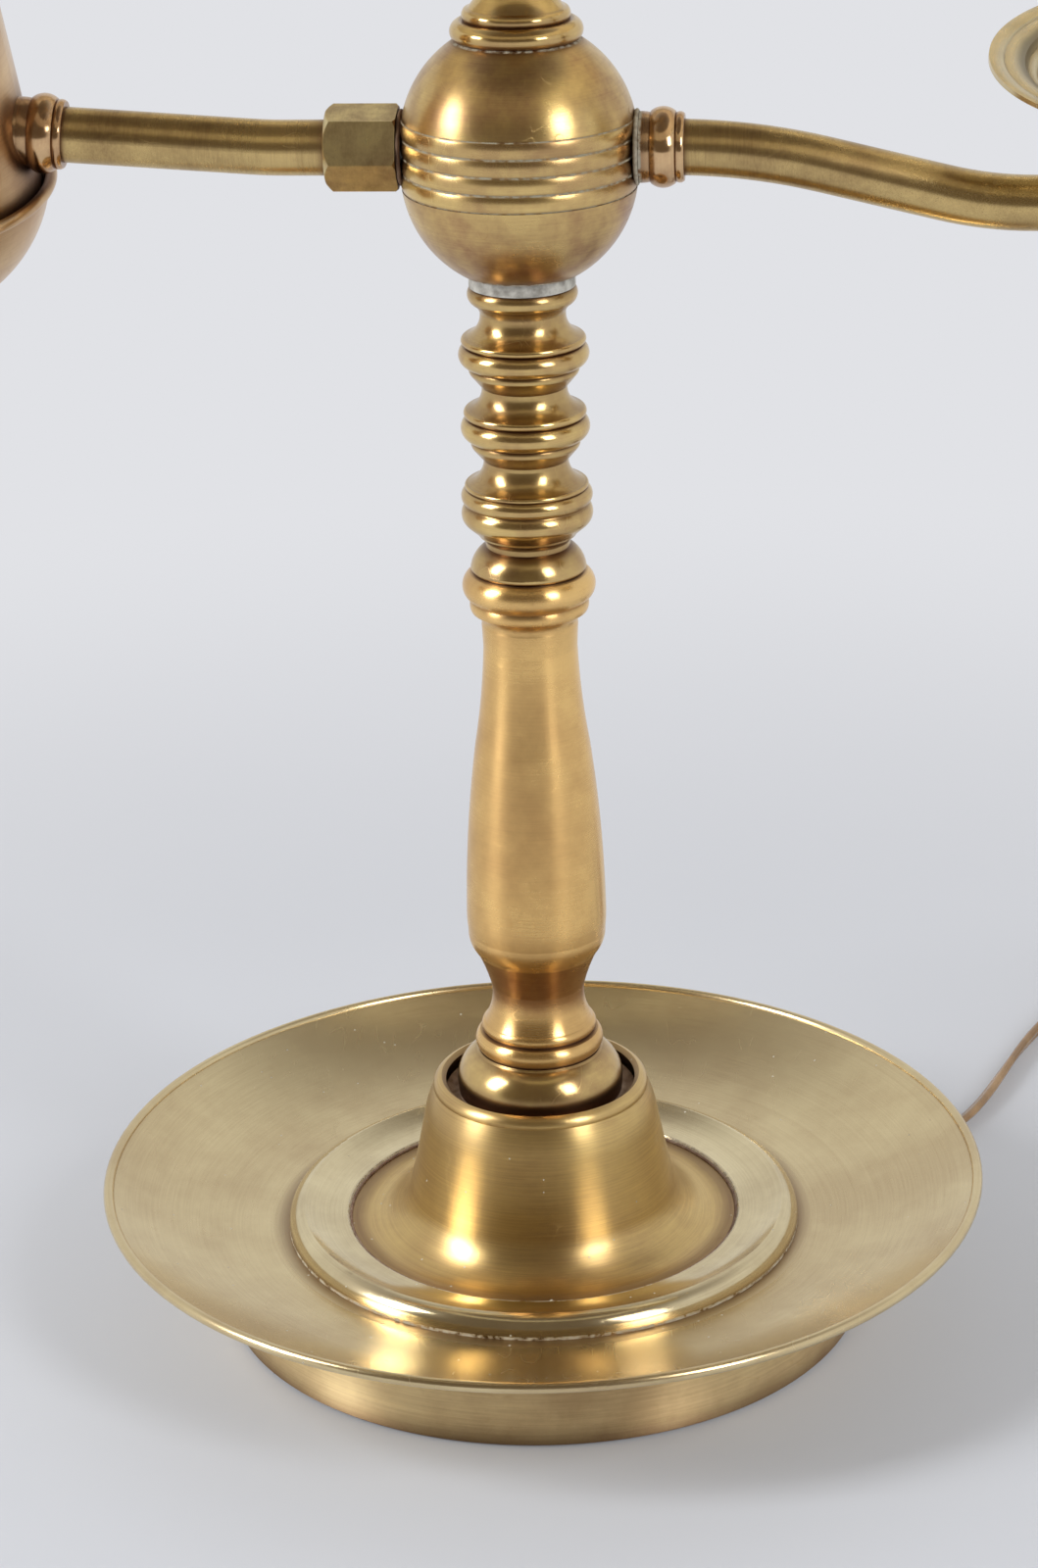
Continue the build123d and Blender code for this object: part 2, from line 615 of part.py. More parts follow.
collar_top = collar_seat + COLLAR_HEIGHT
collar_chain = [
    (shade_rod_bore, upper_inner_hole[1]),
    (collar_plug_radius, upper_inner_hole[1]),
    (collar_plug_radius, upper_hole[1] + FACE_GAP),
    (COLLAR_SEAT_RADIUS, collar_seat + FACE_GAP),
    (COLLAR_SEAT_RADIUS - 1.3, collar_top, COLLAR_SWELL),
    (shade_rod_bore, collar_top),
]
with BuildPart() as ball_collar:
    with BuildSketch(Plane.XZ):
        with BuildLine():
            profile(closed(collar_chain))
        make_face()
    revolve(axis=Axis.Z)
save(ball_collar, "ball_collar")

upper_neck_chain = [
    (shade_rod_bore, 0),
    (COLLAR_SEAT_RADIUS - 2.5, 0),
    (COLLAR_SEAT_RADIUS - 2.8, 2.9, 0.5),
    (COLLAR_SEAT_RADIUS - 3.8, 3.2),
    (8.4, 17.0, -1.6),
    (7.6, UPPER_NECK_HEIGHT - 8.0),
    *ring(7.8, UPPER_NECK_HEIGHT - 7.0, UPPER_NECK_HEIGHT - 2.5, 1.6),
    (6.4, UPPER_NECK_HEIGHT),
    (shade_rod_bore, UPPER_NECK_HEIGHT),
]
with BuildPart() as upper_neck:
    with BuildSketch(Plane.XZ):
        with BuildLine():
            profile(closed(raised(upper_neck_chain, collar_top)))
        make_face()
    revolve(axis=Axis.Z)
save(upper_neck, "upper_neck")

with BuildPart() as shade_rod:
    with BuildSketch(Plane.XY.offset(shade_rod_foot)):
        Circle(SHADE_ROD_RADIUS)
    extrude(amount=SHADE_ROD_LENGTH)
save(shade_rod, "shade_rod")

finial_chain = [
    (shade_rod_bore, 0),
    (7.6, 0),
    *ring(7.8, 0.5, 4.5, 1.4),
    (5.9, 9.0, -0.8),
    (6.2, 13.0),
    (5.4, 31.0, 8.0),
    (3.0, 33.5, -0.5),
    (3.4, 35.0),
    (2.0, FINIAL_HEIGHT - 3.0, 1.0),
    (0, FINIAL_HEIGHT),
    (0, FINIAL_SOCKET),
    (shade_rod_bore, FINIAL_SOCKET),
]
with BuildPart() as finial:
    with BuildSketch(Plane.XZ):
        with BuildLine():
            profile(closed(raised(finial_chain, shade_rod_top - FINIAL_SOCKET)))
        make_face()
    revolve(axis=Axis.Z)
save(finial, "finial")

# ================================================================ arms
with BuildPart() as spindle:
    with BuildSketch(Plane.YZ.offset(-spindle_end)):
        with Locations((0, arm_height)):
            Circle(SPINDLE_RADIUS)
            Circle(SPINDLE_RADIUS - SPINDLE_WALL, mode=Mode.SUBTRACT)
    extrude(amount=2 * spindle_end)
    with BuildSketch(Plane.XY.offset(arm_height - 2 * SPINDLE_RADIUS)):
        Circle(ROD_BORE_RADIUS - 0.4)
    extrude(amount=2 * SPINDLE_RADIUS, mode=Mode.SUBTRACT)
save(spindle, "spindle")

# Both ends of the arms are turned about the arm axis; their chains run outwards from the ball, as
# (distance from the stem axis, radius).
nut_outer = arm_start + UNION_LENGTH
with BuildPart() as union_nut:
    with BuildSketch(Plane.YZ.offset(-arm_start)):
        with Locations((0, arm_height)):
            RegularPolygon(UNION_RADIUS, 6, rotation=UNION_TURN)
    extrude(amount=-UNION_LENGTH)
    with BuildSketch(section(yoke)):
        with BuildLine():
            profile(closed([(-arm_start, 0), (-arm_start, UNION_RADIUS - UNION_BALL_CHAMFER),
                            (-arm_start - UNION_BALL_CHAMFER, UNION_RADIUS),
                            (-nut_outer + UNION_CHAMFER, UNION_RADIUS),
                            (-nut_outer, UNION_RADIUS - UNION_CHAMFER), (-nut_outer, 0)]))
        make_face()
    revolve(axis=Axis(yoke.origin, yoke.x_dir), mode=Mode.INTERSECT)
    with BuildSketch(section(yoke)):
        with BuildLine():
            profile(closed([(-arm_start, 0), (-arm_start, SPINDLE_RADIUS), (-spindle_end, SPINDLE_RADIUS),
                            (-spindle_end, TUBE_RADIUS), (-nut_outer, TUBE_RADIUS), (-nut_outer, 0)]))
        make_face()
    revolve(axis=Axis(yoke.origin, yoke.x_dir), mode=Mode.SUBTRACT)
save(union_nut, "union_nut")

vessel_taper = (VESSEL_WAIST_RADIUS - VESSEL_SHOULDER_RADIUS) / (VESSEL_SHOULDER - VESSEL_WAIST)
vessel_wall_at_tube = VESSEL_WAIST_RADIUS - vessel_taper * (TUBE_INTO_VESSEL - VESSEL_WAIST)
vessel_chain = [
    (0, VESSEL_FOOT),
    (VESSEL_WAIST_RADIUS - 13.3, VESSEL_FOOT),
    (VESSEL_WAIST_RADIUS, VESSEL_WAIST, 2.5),
    (VESSEL_SHOULDER_RADIUS, VESSEL_SHOULDER),
    (VESSEL_MOUTH_RADIUS + VESSEL_WALL, VESSEL_MOUTH, 1.2),
]
with BuildPart() as vessel_envelope:
    with BuildSketch(section(reservoir)):
        with BuildLine():
            profile(closed([*vessel_chain, (0, VESSEL_MOUTH)]))
        make_face()
    revolve(axis=axis_of(reservoir))

left_bend = -ARM_REACH + vessel_wall_at_tube + 65.0
left_start = (-spindle_end, 0)
left_wall_point = (-ARM_REACH + vessel_wall_at_tube - 4.0, TUBE_INTO_VESSEL)
with BuildPart() as left_tube:
    with BuildLine(section(yoke)) as left_path:
        FilletPolyline(left_start, (left_bend, 0), left_wall_point, radius=LEFT_BEND_RADIUS)
    with BuildSketch(Plane(left_path.line @ 0, z_dir=left_path.line % 0)):
        Circle(TUBE_RADIUS)
        Circle(tube_bore, mode=Mode.SUBTRACT)
    sweep()
    add(vessel_envelope.part, mode=Mode.SUBTRACT)
save(left_tube, "left_tube")

collar_profile = [
    (0, TUBE_RADIUS),
    (0, COLLAR_RADIUS - 0.4),
    (2.8, COLLAR_RADIUS - 0.6, -0.1),
    (3.0, COLLAR_RADIUS - 0.2),
    (9.4, COLLAR_RADIUS - 0.2, -ARM_COLLAR_SWELL),
    (9.6, COLLAR_RADIUS - 0.7),
    (COLLAR_LENGTH, COLLAR_RADIUS - 0.9, -0.4),
    (COLLAR_LENGTH, TUBE_RADIUS),
]
collar_bury = 3.0  # the left collar's foot runs on into the vessel, and is trimmed to its wall
left_collar_start = left_path.line @ 1
left_collar_way = (left_path.line % 1) * -1
left_collar_frame = Plane(
    origin=left_collar_start + left_collar_way * collar_bury,
    x_dir=left_collar_way,
    z_dir=left_collar_way.cross(yoke.y_dir),
)
with BuildPart() as left_collar:
    with BuildSketch(section(left_collar_frame)):
        with BuildLine():
            profile(closed([(-collar_bury, TUBE_RADIUS), (-collar_bury, COLLAR_RADIUS), *collar_profile[1:]]))
        make_face()
    revolve(axis=Axis(left_collar_frame.origin, left_collar_frame.x_dir))
    add(vessel_envelope.part, mode=Mode.SUBTRACT)
save(left_collar, "left_collar")

with BuildPart() as right_collar:
    with BuildSketch(section(yoke)):
        with BuildLine():
            profile(closed([(arm_start, SPINDLE_RADIUS),
                            *((arm_start + d, r, *b) for d, r, *b in collar_profile[1:]),
                            (spindle_end, TUBE_RADIUS), (spindle_end, SPINDLE_RADIUS)]))
        make_face()
    revolve(axis=Axis(yoke.origin, yoke.x_dir))
save(right_collar, "right_collar")

with BuildPart() as right_tube:
    with BuildLine(section(yoke)) as right_path:
        FilletPolyline((spindle_end, 0), (dip_start, 0), (dip_end, TUBE_DIP), (ARM_REACH, TUBE_DIP),
                       (ARM_REACH, TUBE_TOP), radius=dip_bends)
    with BuildSketch(Plane(right_path.line @ 0, z_dir=right_path.line % 0)):
        Circle(TUBE_RADIUS)
        Circle(tube_bore, mode=Mode.SUBTRACT)
    sweep()
save(right_tube, "right_tube")

# ================================================================ reservoir
with BuildPart() as reservoir_body:
    with BuildSketch(section(reservoir)):
        with BuildLine():
            profile(sheet(vessel_chain, VESSEL_WALL))
        make_face()
    revolve(axis=axis_of(reservoir))
save(reservoir_body, "reservoir_body")

bowl_hole = 2.5
with BuildPart() as reservoir_bowl:
    with BuildSketch(section(reservoir)):
        with BuildLine():
            profile(sheet([(bowl_hole, BOWL_BOTTOM), (BOWL_FLAT_RADIUS, BOWL_BOTTOM),
                           (BOWL_RIM_RADIUS - BOWL_WALL / 2 + 0.2, BOWL_RIM - 1.0, BOWL_SWELL)], BOWL_WALL))
        make_face()
        with Locations((BOWL_RIM_RADIUS, BOWL_RIM)):
            Circle(BOWL_ROLL_RADIUS)
    revolve(axis=axis_of(reservoir))
save(reservoir_bowl, "reservoir_bowl")

# The knob's shank goes up through the bowl and holds it to the vessel's foot.
bowl_knob_chain = [
    (0, VESSEL_FOOT),
    (0, BOWL_BOTTOM - BOWL_KNOB_HEIGHT),
    (6.0, BOWL_BOTTOM - 6.0, 2.6),
    (3.4, BOWL_BOTTOM - 2.6, 0.6),
    (7.4, BOWL_BOTTOM - 1.6),
    (7.4, BOWL_BOTTOM - 0.3),
    (bowl_hole, BOWL_BOTTOM),
    (bowl_hole, VESSEL_FOOT),
]
with BuildPart() as bowl_knob:
    with BuildSketch(section(reservoir)):
        with BuildLine():
            profile(closed(bowl_knob_chain))
        make_face()
    revolve(axis=axis_of(reservoir))
save(bowl_knob, "bowl_knob")

lid_radius = VESSEL_MOUTH_RADIUS + LID_OVERHANG
lid_seat = VESSEL_MOUTH + FACE_GAP
lid_top = lid_seat + LID_RISE
with BuildPart() as reservoir_lid:
    with BuildSketch(section(reservoir)):
        with BuildLine():
            profile(sheet([(lid_radius, lid_seat + LID_WALL), (lid_radius - 3.6, lid_seat + LID_WALL + 1.0),
                           (LID_CROWN_RADIUS, lid_top - LID_CROWN_RISE, 2.8), (0, lid_top)], LID_WALL))
        make_face()
    with BuildSketch(section(reservoir)):
        with BuildLine():
            profile(closed([(VESSEL_MOUTH_RADIUS - CLEAR_GAP - LID_WALL, lid_seat - LID_SKIRT),
                            (VESSEL_MOUTH_RADIUS - CLEAR_GAP, lid_seat - LID_SKIRT),
                            (VESSEL_MOUTH_RADIUS - CLEAR_GAP, lid_seat + LID_WALL),
                            (VESSEL_MOUTH_RADIUS - CLEAR_GAP - LID_WALL, lid_seat + 2 * LID_WALL)]))
        make_face()
    revolve(axis=axis_of(reservoir))
save(reservoir_lid, "reservoir_lid")

knob_waist = (2.8, 5.4)
knob_top = (0, knob_waist[1] + across_sphere(LID_KNOB_RADIUS, knob_waist[0]) + LID_KNOB_RADIUS)
lid_knob_chain = [
    (0, 0),
    (5.0, -5.0 * LID_CROWN_RISE / LID_CROWN_RADIUS),
    (4.6, 1.4),
    (2.6, 3.2, -0.5),
    knob_waist,
    (*knob_top, rise(LID_KNOB_RADIUS, knob_waist, knob_top)),
]
with BuildPart() as lid_knob:
    with BuildSketch(section(reservoir)):
        with BuildLine():
            profile(closed(raised(lid_knob_chain, lid_top)))
        make_face()
    revolve(axis=axis_of(reservoir))
save(lid_knob, "lid_knob")

# ================================================================ burner
bobeche_seat = TUBE_TOP + SOCKET_CUP_ROOF
tube_fit_bore = TUBE_RADIUS + ASSEMBLY_FIT
nipple_bore = NIPPLE_RADIUS + ASSEMBLY_FIT
socket_cup_chain = [
    (tube_fit_bore, TUBE_TOP - SOCKET_CUP_DEPTH),
    (SOCKET_CUP_RADIUS - 0.8, TUBE_TOP - SOCKET_CUP_DEPTH),
    (SOCKET_CUP_RADIUS - 0.4, TUBE_TOP - SOCKET_CUP_DEPTH + 3.0, 0.9),
    (SOCKET_CUP_RADIUS - 0.8, TUBE_TOP - SOCKET_CUP_DEPTH + 3.4),
    (SOCKET_CUP_RADIUS + 3.0, bobeche_seat, -1.2),
    (nipple_bore, bobeche_seat),
    (nipple_bore, TUBE_TOP),
    (tube_fit_bore, TUBE_TOP),
]
with BuildPart() as bobeche_socket:
    with BuildSketch(section(burner)):
        with BuildLine():
            profile(closed(socket_cup_chain))
        make_face()
    revolve(axis=axis_of(burner))
    add(right_tube.part, mode=Mode.SUBTRACT)
save(bobeche_socket, "bobeche_socket")

# The bobeche's turned steps, counted down and in from its rim.
bobeche_rim = bobeche_seat + BOBECHE_DEPTH
bobeche_chain = [
    (nipple_bore, bobeche_seat),
    (21.0, bobeche_seat),
    (BOBECHE_RADIUS - 13.6, bobeche_rim - 6.6, 1.3),
    (BOBECHE_RADIUS - 12.2, bobeche_rim - 4.6),
    (BOBECHE_RADIUS - 9.4, bobeche_rim - 3.6, -0.35),
    (BOBECHE_RADIUS - 8.6, bobeche_rim - 1.9),
    (BOBECHE_RADIUS - 3.6, bobeche_rim - 0.9, -0.45),
    (BOBECHE_RADIUS - 3.2, bobeche_rim - 0.5),
    (BOBECHE_RADIUS, bobeche_rim, -0.25),
]
with BuildPart() as bobeche:
    with BuildSketch(section(burner)):
        with BuildLine():
            profile(sheet(bobeche_chain, BOBECHE_WALL))
        make_face()
    revolve(axis=axis_of(burner))
save(bobeche, "bobeche")

cup_seat = bobeche_seat + BOBECHE_WALL
cup_floor = cup_seat + CUP_WALL
switch_top = cup_floor + SWITCH_BODY_HEIGHT
sleeve_top = switch_top + SLEEVE_HEIGHT
lamp_socket_top = sleeve_top + 1.5
lamp_socket_foot = lamp_socket_top - LAMP_SOCKET_HEIGHT
with BuildPart() as burner_nipple:
    with BuildSketch(burner.offset(TUBE_TOP - SOCKET_CUP_DEPTH / 2)):
        Circle(NIPPLE_RADIUS)
        Circle(NIPPLE_BORE_RADIUS, mode=Mode.SUBTRACT)
    extrude(amount=lamp_socket_foot - TUBE_TOP + SOCKET_CUP_DEPTH / 2)
save(burner_nipple, "burner_nipple")

with BuildPart() as candle_cup:
    with BuildSketch(section(burner)):
        with BuildLine():
            profile(sheet([(nipple_bore, cup_seat), (CUP_RADIUS - 4.0, cup_seat),
                           (CUP_RADIUS - 0.4, cup_seat + 5.0, 1.2), (CUP_RADIUS - 1.0, cup_seat + 14.0, -0.4),
                           (CUP_RADIUS + 1.4, cup_seat + CUP_HEIGHT, -0.6)], CUP_WALL))
        make_face()
    revolve(axis=axis_of(burner))
    switch_axis_height = cup_floor + SWITCH_BODY_HEIGHT / 2
    with BuildSketch(Plane(burner.from_local_coords((0, 0, switch_axis_height)), z_dir=-burner.y_dir)):
        Circle(SWITCH_SHAFT_RADIUS + RUNNING_FIT)
    extrude(amount=2 * CUP_RADIUS, mode=Mode.SUBTRACT)
save(candle_cup, "candle_cup")

switch_frame = Plane(burner.from_local_coords((0, 0, switch_axis_height)), z_dir=-burner.y_dir)
with BuildPart() as switch_body:
    with BuildSketch(burner.offset(cup_floor)):
        Circle(SWITCH_BODY_RADIUS)
        Circle(nipple_bore, mode=Mode.SUBTRACT)
    extrude(amount=SWITCH_BODY_HEIGHT)
    with BuildSketch(switch_frame.offset(SWITCH_BODY_RADIUS - SHAFT_DEPTH)):
        Circle(SWITCH_SHAFT_RADIUS + RUNNING_FIT)
    extrude(amount=2 * SHAFT_DEPTH, mode=Mode.SUBTRACT)
save(switch_body, "switch_body")

knob_foot = CUP_RADIUS + 2.6
with BuildPart() as switch_knob:
    shaft_foot = SWITCH_BODY_RADIUS - SHAFT_DEPTH + CLEAR_GAP
    with BuildSketch(switch_frame.offset(shaft_foot)):
        Circle(SWITCH_SHAFT_RADIUS)
    extrude(amount=knob_foot + 1.0 - shaft_foot)
    with BuildSketch(switch_frame.offset(knob_foot)):
        Circle(SWITCH_KNOB_RADIUS)
        with PolarLocations(SWITCH_KNOB_RADIUS + 0.2, 16):
            Circle(0.6, mode=Mode.SUBTRACT)
    extrude(amount=SWITCH_KNOB_LENGTH)
    chamfer(switch_knob.faces().sort_by(Axis(switch_frame.origin, switch_frame.z_dir))[-1].edges(), 0.5)
save(switch_knob, "switch_knob")

with BuildPart() as candle_sleeve:
    with BuildSketch(burner.offset(switch_top)):
        Circle(SLEEVE_RADIUS)
        Circle(SLEEVE_RADIUS - SLEEVE_WALL, mode=Mode.SUBTRACT)
    extrude(amount=SLEEVE_HEIGHT)
save(candle_sleeve, "candle_sleeve")

with BuildPart() as lamp_socket:
    with BuildSketch(burner.offset(lamp_socket_foot)):
        Circle(LAMP_SOCKET_RADIUS)
    extrude(amount=LAMP_SOCKET_HEIGHT)
    with BuildSketch(burner.offset(lamp_socket_top)):
        Circle(LAMP_SOCKET_BORE)
    extrude(amount=-(LAMP_SOCKET_HEIGHT - 4.0), mode=Mode.SUBTRACT)
    with BuildSketch(burner.offset(lamp_socket_foot)):
        Circle(NIPPLE_BORE_RADIUS)
    extrude(amount=4.0, mode=Mode.SUBTRACT)
save(lamp_socket, "lamp_socket")

bulb_seat = lamp_socket_top - BULB_BASE_HEIGHT
bulb_waist = lamp_socket_top + 1.0
with BuildPart() as bulb_base:
    with BuildSketch(section(burner)):
        with BuildLine():
            profile(closed([(0, bulb_seat), (3.0, bulb_seat), (BULB_BASE_RADIUS, bulb_seat + 3.0),
                            (BULB_BASE_RADIUS, bulb_waist), (0, bulb_waist)]))
        make_face()
    revolve(axis=axis_of(burner))
save(bulb_base, "bulb_base")

with BuildPart() as bulb_glass:
    with BuildSketch(section(burner)):
        with BuildLine():
            profile(sheet([(0, bulb_waist), (BULB_BASE_RADIUS, bulb_waist),
                           (BULB_BASE_RADIUS + 2.4, bulb_waist + 7.0, -0.4),
                           (BULB_RADIUS, bulb_waist + 24.0, 1.2),
                           (6.0, bulb_waist + 54.0, 3.4),
                           (2.4, bulb_waist + BULB_HEIGHT - 3.5, -0.5),
                           (0, bulb_waist + BULB_HEIGHT)], BULB_WALL))
        make_face()
    revolve(axis=axis_of(burner))
save(bulb_glass, "bulb_glass")

filament_foot = bulb_waist + BULB_WALL
with BuildPart() as bulb_filament:
    with BuildSketch(section(burner)):
        with BuildLine():
            profile(closed([(0, filament_foot), (4.0, filament_foot), (2.0, filament_foot + 10.0, -0.8),
                            (1.0, filament_foot + 20.0), (1.0, filament_foot + 34.0),
                            (0, filament_foot + 34.0)]))
        make_face()
    revolve(axis=axis_of(burner))
save(bulb_filament, "bulb_filament")

# ================================================================ shade
shade_top = SHADE_BOTTOM + SHADE_HEIGHT
with BuildPart() as shade_rolls:
    with BuildSketch(Plane.XZ):
        with Locations((SHADE_BOTTOM_RADIUS - SHADE_WALL / 2, SHADE_BOTTOM),
                       (SHADE_TOP_RADIUS - SHADE_WALL / 2, shade_top)):
            Circle(SHADE_ROLL_RADIUS)
    revolve(axis=Axis.Z)
save(shade_rolls, "shade_rolls")

with BuildPart() as shade_skin:
    with BuildSketch(Plane.XZ):
        with BuildLine():
            profile(sheet([(SHADE_BOTTOM_RADIUS, SHADE_BOTTOM), (SHADE_TOP_RADIUS, shade_top)], SHADE_WALL))
        make_face()
    revolve(axis=Axis.Z)
    add(shade_rolls.part, mode=Mode.SUBTRACT)
save(shade_skin, "shade_skin")

shade_bore = SHADE_ROD_RADIUS + RUNNING_FIT
hub_foot = spider_height - SHADE_HUB_HEIGHT / 2
shade_hub_chain = [
    (shade_bore, 0),
    (SHADE_HUB_RADIUS - 1.6, 0),
    *ring(SHADE_HUB_RADIUS - 1.2, 0.6, 4.6, 1.2),
    (SHADE_HUB_RADIUS - 1.4, 5.0),
    (SHADE_HUB_RADIUS, 7.0),
    (SHADE_HUB_RADIUS, SHADE_HUB_HEIGHT - 7.0),
    (SHADE_HUB_RADIUS - 1.4, SHADE_HUB_HEIGHT - 5.0),
    *ring(SHADE_HUB_RADIUS - 1.2, SHADE_HUB_HEIGHT - 4.6, SHADE_HUB_HEIGHT - 0.6, 1.2),
    (SHADE_HUB_RADIUS - 1.6, SHADE_HUB_HEIGHT),
    (shade_bore, SHADE_HUB_HEIGHT),
]
key_frame = Plane(origin=(0, 0, spider_height), x_dir=(1, 0, 0), z_dir=(0, -1, 0))
with BuildPart() as shade_hub:
    with BuildSketch(Plane.XZ):
        with BuildLine():
            profile(closed(raised(shade_hub_chain, hub_foot)))
        make_face()
    revolve(axis=Axis.Z)
    with BuildSketch(key_frame):
        Circle(KEY_SHANK_RADIUS + RUNNING_FIT)
    extrude(amount=2 * SHADE_HUB_RADIUS, mode=Mode.SUBTRACT)
save(shade_hub, "shade_hub")

with BuildPart() as shade_spider:
    spider_reach = SHADE_TOP_RADIUS + 0.7  # ends inside the skin, and is cut back to its inner face
    for i in range(SPIDER_ARMS):
        turn = radians(360.0 * (i + 0.5) / SPIDER_ARMS)
        way = Vector(cos(turn), sin(turn), 0)
        with BuildSketch(Plane(way * (SHADE_HUB_RADIUS - 0.5) + Vector(0, 0, spider_height), z_dir=way)):
            Circle(SPIDER_ROD_RADIUS)
        extrude(amount=spider_reach - SHADE_HUB_RADIUS + 0.5)
    add(shade_hub.part, mode=Mode.SUBTRACT)
    add(shade_skin.part, mode=Mode.SUBTRACT)
save(shade_spider, "shade_spider")

key_tip = SHADE_ROD_RADIUS + CLEAR_GAP
key_head = SHADE_HUB_RADIUS + KEY_SHANK_LENGTH
with BuildPart() as shade_key:
    with BuildSketch(key_frame.offset(key_tip)):
        Circle(KEY_SHANK_RADIUS)
    extrude(amount=key_head - key_tip + 1.0)
    with BuildSketch(key_frame.offset(SHADE_HUB_RADIUS + CLEAR_GAP)):
        Circle(KEY_SHANK_RADIUS + 1.4)
    extrude(amount=2.5)
    with BuildSketch(Plane(origin=(0, -key_head - KEY_HEIGHT / 2, spider_height), z_dir=(1, 0, 0))):
        Ellipse(KEY_HEIGHT / 2, KEY_WIDTH / 2)
    extrude(amount=KEY_THICKNESS / 2, both=True)
save(shade_key, "shade_key")

# ================================================================ wiring
exit_way = Vector(cos(radians(CORD_ANGLE)), sin(radians(CORD_ANGLE)), 0)
cord_radius = CORD_DIAMETER / 2
relief_end = FOOT_RADIUS + GROMMET_FLANGE + RELIEF_LENGTH
with BuildPart() as cord_grommet:
    inner_seat = -FOOT_WALL - 0.25  # clears the ring's curved inner wall
    with BuildSketch(section(cord_exit_plane)):
        with BuildLine():
            profile(closed([(LEAD_RADIUS, inner_seat - GROMMET_FLANGE),
                            (GROMMET_FLANGE_RADIUS, inner_seat - GROMMET_FLANGE),
                            (GROMMET_FLANGE_RADIUS, inner_seat), (GROMMET_RADIUS, inner_seat),
                            (GROMMET_RADIUS, 0.05), (GROMMET_FLANGE_RADIUS, 0.05),
                            (GROMMET_FLANGE_RADIUS, GROMMET_FLANGE), (GROMMET_RADIUS + 0.6, GROMMET_FLANGE),
                            (cord_radius + 0.5, GROMMET_FLANGE + RELIEF_LENGTH),
                            (LEAD_RADIUS, GROMMET_FLANGE + RELIEF_LENGTH)]))
        make_face()
    revolve(axis=axis_of(cord_exit_plane))
save(cord_grommet, "cord_grommet")

# The lead inside: in through the grommet, under the ballast, and up the rod's bore.
lead_plane = Plane(origin=(0, 0, 0), x_dir=exit_way, z_dir=exit_way.cross(Vector(0, 0, 1)))
with BuildPart() as stem_lead:
    with BuildLine(lead_plane) as lead_path:
        FilletPolyline((relief_end, GROMMET_HEIGHT), (0, GROMMET_HEIGHT), (0, rod_top), radius=4.0)
    with BuildSketch(Plane(lead_path.line @ 0, z_dir=lead_path.line % 0)):
        Circle(LEAD_RADIUS)
    sweep()
save(stem_lead, "stem_lead")

# The arm's lead: from the spindle through the S bend up to the lamp socket.
with BuildPart() as arm_lead:
    with BuildLine(section(yoke)) as arm_path:
        FilletPolyline((0, 0), (dip_start, 0), (dip_end, TUBE_DIP), (ARM_REACH, TUBE_DIP),
                       (ARM_REACH, lamp_socket_foot + 2.0), radius=dip_bends)
    with BuildSketch(Plane(arm_path.line @ 0, z_dir=arm_path.line % 0)):
        Circle(LEAD_RADIUS)
    sweep()
save(arm_lead, "arm_lead")

# The free cord's route, chosen point by point: out of the strain relief, down to the table, and away
# behind the dish to the coil. Heights are of the cord's middle.
first_point = exit_way * relief_end
second_point = exit_way * (relief_end + 15.0)
cord_route = [
    (first_point.X, first_point.Y, GROMMET_HEIGHT),
    (second_point.X, second_point.Y, GROMMET_HEIGHT),
    (112.2, 91.6, 3.4),
    (122.6, 104.6, 2.65),
    (130.2, 121.5, 2.7),
    (136.8, 142.0, 2.65),
    (143.6, 162.5, 2.7),
    (152.4, 182.5, 2.65),
    (162.6, 202.5, 2.7),
    (169.8, 224.5, 2.65),
]


def bend_radii(route):
    """Each corner's arc: 0.45 of its shorter run, divided by the tangent of half the turn."""
    points = [Vector(*point) for point in route]
    radii = []
    for before, corner, after in zip(points, points[1:], points[2:]):
        turn = (corner - before).get_angle(after - corner)
        shorter = min((corner - before).length, (after - corner).length)
        radii.append(0.45 * shorter / tan(radians(turn) / 2))
    return radii


cord_radii = bend_radii(cord_route)
coil_half_width = COIL_TURNS_ACROSS * CORD_DIAMETER / 2
coil_height = COIL_LAYERS * CORD_DIAMETER
with BuildPart() as cord_coil:
    with BuildSketch():
        with Locations(COIL_CENTRE):
            Circle(COIL_RADIUS + coil_half_width)
            Circle(COIL_RADIUS - coil_half_width, mode=Mode.SUBTRACT)
    extrude(amount=coil_height)
save(cord_coil, "cord_coil")

with BuildPart() as cord_tube:
    with BuildLine() as cord_path:
        FilletPolyline(*cord_route, radius=cord_radii)
    with BuildSketch(Plane(cord_path.line @ 0, z_dir=cord_path.line % 0)):
        Circle(cord_radius)
    sweep()
    swept_volume = cord_tube.part.volume
    add(cord_coil.part, mode=Mode.SUBTRACT)
save(cord_tube, "cord_tube")

# The tail leaves the coil's upper layer at its right-hand side and ends in the plug.
tail_x = COIL_CENTRE[0] + COIL_RADIUS + coil_half_width - cord_radius
tail_height = coil_height - cord_radius
tail_start = COIL_CENTRE[1] - 8.0
plug_start = COIL_CENTRE[1] - 46.0
with BuildPart() as cord_tail:
    with BuildSketch(Plane(origin=(tail_x, tail_start, tail_height), z_dir=(0, -1, 0))):
        Circle(cord_radius)
    extrude(amount=tail_start - plug_start)
    add(cord_coil.part, mode=Mode.SUBTRACT)
save(cord_tail, "cord_tail")

